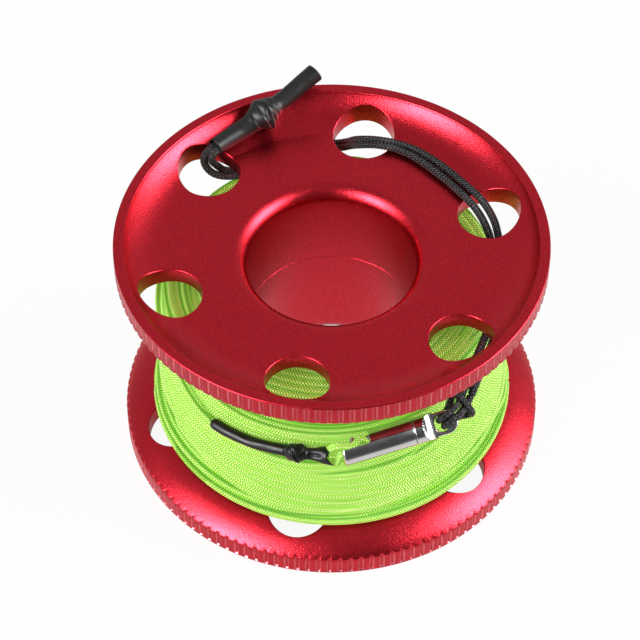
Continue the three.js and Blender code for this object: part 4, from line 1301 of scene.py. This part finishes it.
# %% Steel material and the clip's own nodes
clip_axis = unit(in_barrel([(1, 0, 0)])[0] - barrel_origin)
steel_plain = {"Metallic": 1.0, "Base Color": linear("#C9C8C9")}
steel, tree, surface = new_material("polished_stainless_steel", steel_plain)
place_on = add(tree, "TexCoord").outputs["Object"]
clip_dot = add(tree, "VectorMath", {0: place_on, 1: tuple(clip_axis)}, operation="DOT_PRODUCT")
along_clip = {"W": clip_dot.outputs["Value"], "Scale": 1 / (0.12 * MM), "Detail": 3.0}
groove = add(tree, "TexNoise", along_clip, noise_dimensions="1D")
groove_lift = add(tree, "Bump", {"Height": groove, "Distance": 0.002 * MM, "Strength": 0.5})
smear = add(tree, "TexNoise", {"Vector": place_on, "Scale": 1 / (1.8 * MM), "Detail": 4.0})
smear_range = add(tree, "MapRange", {"Value": smear, 1: 0.3, 2: 0.7, 3: 0.14, 4: 0.22})
set_inputs(surface, {"Normal": groove_lift, "Roughness": smear_range})

for node_name in ("loop_peg", "gate_pin", "barrel_end_plug", "swivel_rivet"):
    for material_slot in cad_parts[node_name].material_slots:
        material_slot.material = steel

# %% [markdown]
# ## The clip's barrel
# The barrel is a bar with one side milled away for the loop's seat and a chamber bored for the spring. Its
# section is a circle, cut by a plane along the seat. Each row of the grid holds the arc below the cut and
# then either the cut's flat or the arc above it, with the same number of points. So the edge between flat
# and round is exact, and the rows meet point for point at the seat's end wall.

# %% Barrel
barrel_radius = 3.0
barrel_length = 16.0
barrel_round = 0.4
seam_round = 0.12
seat_length = 6.6
seat_cut = -0.7
seat_fillet = 1.2
gate_bore_radius = 0.58
gate_offset = 1.7
chamber_radius = 2.3
chamber_start = 8.4
half_columns = 48


def arc_part(radius, start, end):
    """Points (y, z) = radius x (sin a, -cos a) from one angle to another, without the last."""
    angle = np.linspace(start, end, half_columns, endpoint=False)
    return np.stack([radius * np.sin(angle), -radius * np.cos(angle)], -1)


def flat_part(half_width, cut, direction):
    """Points along the cut's flat, without the last: y from -half width to half width, or back."""
    y = direction * np.linspace(-half_width, half_width, half_columns, endpoint=False)
    return np.stack([y, np.full(half_columns, cut)], -1)


def section(radius, cut, kind):
    """Ring of a section. The cut meets the circle at the angle arccos(-cut / radius) from straight down."""
    reach = math.acos(-cut / radius)
    below = arc_part(radius, -reach, reach)
    above = arc_part(radius, reach, 2 * math.pi - reach)
    if kind == "seat":
        return np.vstack([below, flat_part(radius * math.sin(reach), cut, -1)])
    if kind == "wall":
        return np.vstack([flat_part(radius * math.sin(reach), cut, 1), above])
    return np.vstack([below, above])


def at_x(x, ring):
    """A ring of (y, z) points at a place along the clip."""
    return np.concatenate([np.full((len(ring), 1), float(x)), ring], 1)


def spanned(first, last, steps=2):
    """A block whose rows run straight from one ring to another."""
    share = np.linspace(0, 1, steps)[:, None, None]
    grid = first + (last - first) * share
    return grid, [quads(steps, grid.shape[1])]


seat_rows = [
    (barrel_round * (1 - math.cos(a)), barrel_radius - barrel_round * (1 - math.sin(a)), seat_cut)
    for a in np.radians([0, 20, 40, 60, 80, 90])
]
fillet_start = seat_length - seat_fillet
seat_rows += [(x, barrel_radius, seat_cut) for x in (1.5, 3.5, fillet_start)]
seat_rows += [
    (fillet_start + seat_fillet * math.sin(a), barrel_radius, seat_cut + seat_fillet * (1 - math.cos(a)))
    for a in np.radians(np.arange(10, 91, 10))
]
seat_grid = np.stack([at_x(x, section(r, cut, "seat")) for x, r, cut in seat_rows])
wall_cut = seat_cut + seat_fillet
body_rows = [(x, barrel_radius) for x in (seat_length, 8, 12, barrel_length - seam_round)]
body_rows += [
    (barrel_length - seam_round * (1 - math.sin(a)), barrel_radius - seam_round * (1 - math.cos(a)))
    for a in np.radians([45, 90])
]
body_grid = np.stack([at_x(x, section(r, wall_cut, "body")) for x, r in body_rows])
wall_ring = section(barrel_radius, wall_cut, "wall")
bore_middle = np.array([0, gate_offset])
chamber_way = unit(wall_ring - bore_middle)
bore_ring = bore_middle + gate_bore_radius * chamber_way
nearest = chamber_way @ bore_middle
to_chamber = np.sqrt(nearest**2 - gate_offset**2 + chamber_radius**2) - nearest
chamber_ring = bore_middle + to_chamber[:, None] * chamber_way
left_end = seat_grid[0]
left_middle = np.array([0, 0, (seat_cut - barrel_radius) / 2])
left_inner = left_middle + (left_end - left_middle) * 0.4
column = np.arange(2 * half_columns)
left_fan = np.stack([column, (column + 1) % len(column), np.full(len(column), len(column))], -1)
barrel_points, barrel_faces = welded([
    (np.vstack([left_inner, left_middle]), [left_fan]),
    spanned(left_inner, left_end),
    (seat_grid, [quads(*seat_grid.shape[:2])]),
    (body_grid, [quads(*body_grid.shape[:2])]),
    spanned(at_x(seat_length, bore_ring), at_x(seat_length, wall_ring), 4),
    spanned(at_x(seat_length, bore_ring), at_x(chamber_start, bore_ring)),
    spanned(at_x(chamber_start, bore_ring), at_x(chamber_start, chamber_ring)),
    spanned(at_x(chamber_start, chamber_ring), at_x(barrel_length, chamber_ring), 4),
    spanned(at_x(barrel_length, chamber_ring), body_grid[-1]),
])
barrel_mesh = outward(new_mesh(in_barrel(barrel_points), barrel_faces))
place("clip_bar", barrel_mesh, "clip", steel, ["clip_barrel"], sharp=32)

# %% [markdown]
# ## The eye piece
# The neck is turned as thick as the barrel, and a round cutter mills it down to the flat tongue. The
# cutter's hollow leaves a bright crescent on the round neck. A section at x is a circle whose y is held
# between -h and h, with h = t + R - sqrt(R**2 - (e - x)**2), R the cutter's radius, e the end of its cut
# and t half the tongue's thickness. The tongue is a flat plate with a round end and the eye through it. Its
# grid runs round the eye, and its rows go over the edge of the eye, across one face, over the outer edge
# and back on the other face.

# %% Neck
neck_radius = 2.95
mill_radius = 2.9
mill_end = 20.8
tongue_thickness = 2.0
neck_x = np.concatenate([[16.15, 16.2, 16.28], np.linspace(16.9, 17.8, 4), np.linspace(17.9, mill_end, 48)])
neck_r = np.full(len(neck_x), neck_radius)
neck_r[:2] = 2.8, 2.9
climb = mill_radius - np.sqrt(np.clip(mill_radius**2 - (mill_end - neck_x) ** 2, 0, None))
milled = neck_x > mill_end - mill_radius
half_height = np.where(milled, tongue_thickness / 2 + 0.03 + climb, 2 * neck_radius)
neck_angle = np.linspace(0, 2 * np.pi, 240, endpoint=False)
neck_y = np.clip(neck_r[:, None] * np.cos(neck_angle), -half_height[:, None], half_height[:, None])
neck_z = neck_r[:, None] * np.sin(neck_angle)
neck_grid = in_eye(np.stack([np.broadcast_to(neck_x[:, None], neck_y.shape), neck_y, neck_z], -1))
neck_mesh = capped_tube(in_eye([(x, 0, 0) for x in neck_x]), neck_grid, rounding=0.0)
place("eye_neck", neck_mesh, "spool", steel, ["swivel_eye"], sharp=32)

# %% Tongue with the eye
tongue_half = 2.6
tongue_root = 19.9
tongue_round = 23.4
eye_radius = 1.85
tongue_edge = 0.35
tongue_sides = 144


def tongue_outline(angle):
    """Distance from the eye's centre to the plate's outline in a direction: root line, sides, or the round
    end."""
    c = np.cos(angle)
    s = np.sin(angle)
    with np.errstate(divide="ignore"):
        side = tongue_half / np.abs(s)
        root = np.where(c < 0, (eye_centre - tongue_root) / -c, np.inf)
    ahead = tongue_round - eye_centre
    end = ahead * c + np.sqrt((ahead * c) ** 2 - ahead**2 + tongue_half**2)
    flat = np.minimum(side, root)
    return np.where(eye_centre + flat * c > tongue_round, end, flat)


tongue_angle = np.linspace(0, 2 * np.pi, tongue_sides, endpoint=False)
reach_out = tongue_outline(tongue_angle)
edge_bend = np.radians([0, 30, 60, 90])
over_edge = tongue_edge * (1 - np.cos(edge_bend))
down_edge = tongue_edge * (1 - np.sin(edge_bend))
top = tongue_thickness / 2
tongue_rows = [(eye_radius + o, top - d) for o, d in zip(over_edge, down_edge)]
tongue_rows += [(reach_out - o, top - d) for o, d in zip(over_edge[::-1], down_edge[::-1])]
tongue_rows += [(reach_out - o, d - top) for o, d in zip(over_edge, down_edge)]
tongue_rows += [(eye_radius + o, d - top) for o, d in zip(over_edge[::-1], down_edge[::-1])]
tongue_rows += tongue_rows[:1]
tongue_grid = in_eye([
    np.stack([eye_centre + r * np.cos(tongue_angle), np.full(tongue_sides, y), r * np.sin(tongue_angle)], -1)
    for r, y in tongue_rows
])
tongue_mesh = outward(new_mesh(*welded([(tongue_grid, [quads(len(tongue_rows), tongue_sides)])])))
place("eye_tongue", tongue_mesh, "spool", steel, ["swivel_eye"], sharp=32)

# %% Gate spring
spring_start = 9.7
spring_length = 3.6
spring_wire = 0.35
spring_radius = 1.5
spring_steps = 145
coil = np.linspace(0, 3 * 2 * np.pi, spring_steps)
spring_x = spring_start + spring_wire / 2 + (spring_length - spring_wire) * np.linspace(0, 1, spring_steps)
spring_route = in_barrel(np.stack([spring_x, spring_radius * np.cos(coil), spring_radius * np.sin(coil)], -1))
spring_out = spring_route - in_barrel(np.stack([spring_x, 0 * spring_x, 0 * spring_x], -1))
spring_rings = oval_rings(spring_route, spring_out, spring_wire / 2, spring_wire / 2, 12)
spring_tube = capped_tube(spring_route, spring_rings)
spring = place("gate_spring_coils", spring_tube, None, steel, ["gate_spring"])
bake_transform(spring)

# %% [markdown]
# ## Studio
# The red metal works like a mirror out of focus, so its bright and dark places tell where the lamps stood:
# one tall soft box at the right, one at the front left, little light from the front or straight above, and a
# pale wall behind. A real soft box is brightest in its middle, so each has a bright core. Only reflections
# see the cores, because they would wash out the line. The floor is a pale table. Only to reflections it has
# painted light and shade: it glows from the spool backwards, most of all under the bore, and its part towards
# the viewer is painted dark, as the room was.

# %% Lamps
def area_light(name, azimuth, elevation, distance, size, radiance):
    """A soft box that faces the spool from a direction in degrees. Its power in watts is radiance x pi x
    area."""
    bearing = math.radians(azimuth)
    rise = math.radians(elevation)
    way = Vector((math.cos(rise) * math.cos(bearing), math.cos(rise) * math.sin(bearing), math.sin(rise)))
    data = bpy.data.lights.new(name, "AREA")
    data.shape = "RECTANGLE"
    data.size, data.size_y = size
    data.energy = radiance * math.pi * size[0] * size[1]
    light = bpy.data.objects.new(name, data)
    light.location = way * distance + Vector((0, 0, 0.03))
    light.rotation_euler = way.to_track_quat("Z", "Y").to_euler()
    bpy.context.scene.collection.objects.link(light)
    print(name, "at", [round(x, 2) for x in light.location], "watts", round(data.energy, 1))
    return light


lamp_distance = 0.9
for name, azimuth, elevation, size, radiance, lights_matt in (
    ("soft_box_right", -1, 27, (0.7, 0.9), 3.7, True),
    ("soft_box_left", 217, 27, (0.62, 0.82), 4.3, True),
    ("right_core", -6, 29, (0.44, 0.6), 20.0, False),
    ("left_core", 219, 29, (0.36, 0.6), 24.0, False),
):
    lamp = area_light(name, azimuth, elevation, lamp_distance, size, radiance)
    lamp.visible_diffuse = lights_matt

# %% Table and room
floor_half = 3000
floor_corners = np.array([[-1, -1, 0], [1, -1, 0], [1, 1, 0], [-1, 1, 0]]) * float(floor_half)
floor_mesh = new_mesh(floor_corners, [np.array([[0, 1, 2, 3]])])
floor_mesh.name = "floor"
floor = bpy.data.objects.new("floor", floor_mesh)
bpy.context.scene.collection.objects.link(floor)
paint_colour = linear("#F2F2F2")
reflected_front_shade = linear("#2A2A2C")
camera_share = 0.93
near_share = 0.4
bore_share = 0.6
floor_paint, tree, surface = new_material("pale_lit_table", {"Roughness": 0.9})
lamp_below = add(tree, "Emission", {"Color": linear("#FFFFFF"), "Strength": 1.0})
path = add(tree, "LightPath")
glossy_ray = path.outputs["Is Glossy Ray"]
for_camera = add(tree, "Math", {0: path.outputs["Is Camera Ray"], 1: camera_share}, operation="MULTIPLY")
table_place = add(tree, "SeparateXYZ", {0: add(tree, "TexCoord").outputs["Object"]})
# Painted reflection: to glossy rays the table glows white, 0.4 from a little in front of the spool backwards
# and 0.6 more under the bore.
near = add(tree, "MapRange", {"Value": table_place.outputs[1], 1: -0.15, 2: -0.1})
squares = [add(tree, "Math", {0: table_place.outputs[k], 1: 2.0}, operation="POWER") for k in (0, 1)]
off_axis = add(tree, "Math", dict(enumerate(squares)), operation="ADD")
under_bore = add(tree, "Math", {0: off_axis, 1: (bore_radius * MM) ** 2}, operation="LESS_THAN")
near_part = add(tree, "Math", {0: near, 1: near_share}, operation="MULTIPLY")
bore_part = add(tree, "Math", {0: under_bore, 1: bore_share}, operation="MULTIPLY")
reflection_glow_share = add(tree, "Math", {0: near_part, 1: bore_part}, operation="ADD")
for_metal = add(tree, "Math", {0: glossy_ray, 1: reflection_glow_share}, operation="MULTIPLY")
# Painted shade in reflections: to glossy rays the table's front turns dark grey.
far = add(tree, "Math", {0: 1.0, 1: near}, operation="SUBTRACT")
seen_far = add(tree, "Math", {0: glossy_ray, 1: far}, operation="MULTIPLY")
table_shade = add(tree, "Mix", {0: seen_far, 6: paint_colour, 7: reflected_front_shade}, data_type="RGBA")
set_inputs(surface, {"Base Color": table_shade.outputs[2]})
share = add(tree, "Math", {0: for_camera, 1: for_metal}, operation="MAXIMUM")
both = add(tree, "MixShader", {0: share, 1: surface, 2: lamp_below})
set_inputs(tree.nodes["Material Output"], {"Surface": both})
floor_mesh.materials.append(floor_paint)

# The wall behind is pale and the room in front dark: the sky's strength runs along Y from 0.08 to 0.62.
world = bpy.data.worlds.new("studio")
bpy.context.scene.world = world
world.use_nodes = True
tree = world.node_tree
tree.nodes.clear()
direction = add(tree, "SeparateXYZ", {0: add(tree, "TexCoord").outputs["Generated"]})
glow = add(tree, "MapRange", {"Value": direction.outputs[1], 1: -0.7, 2: 0.7, 3: 0.08, 4: 0.62})
sky = add(tree, "Background", {"Color": linear("#FFFFFF"), "Strength": glow})
add(tree, "OutputWorld", {"Surface": sky})

# %% Sizes as plain lists
def corners(box):
    """A box as two plain lists of numbers."""
    return [[float(x) for x in corner] for corner in box]
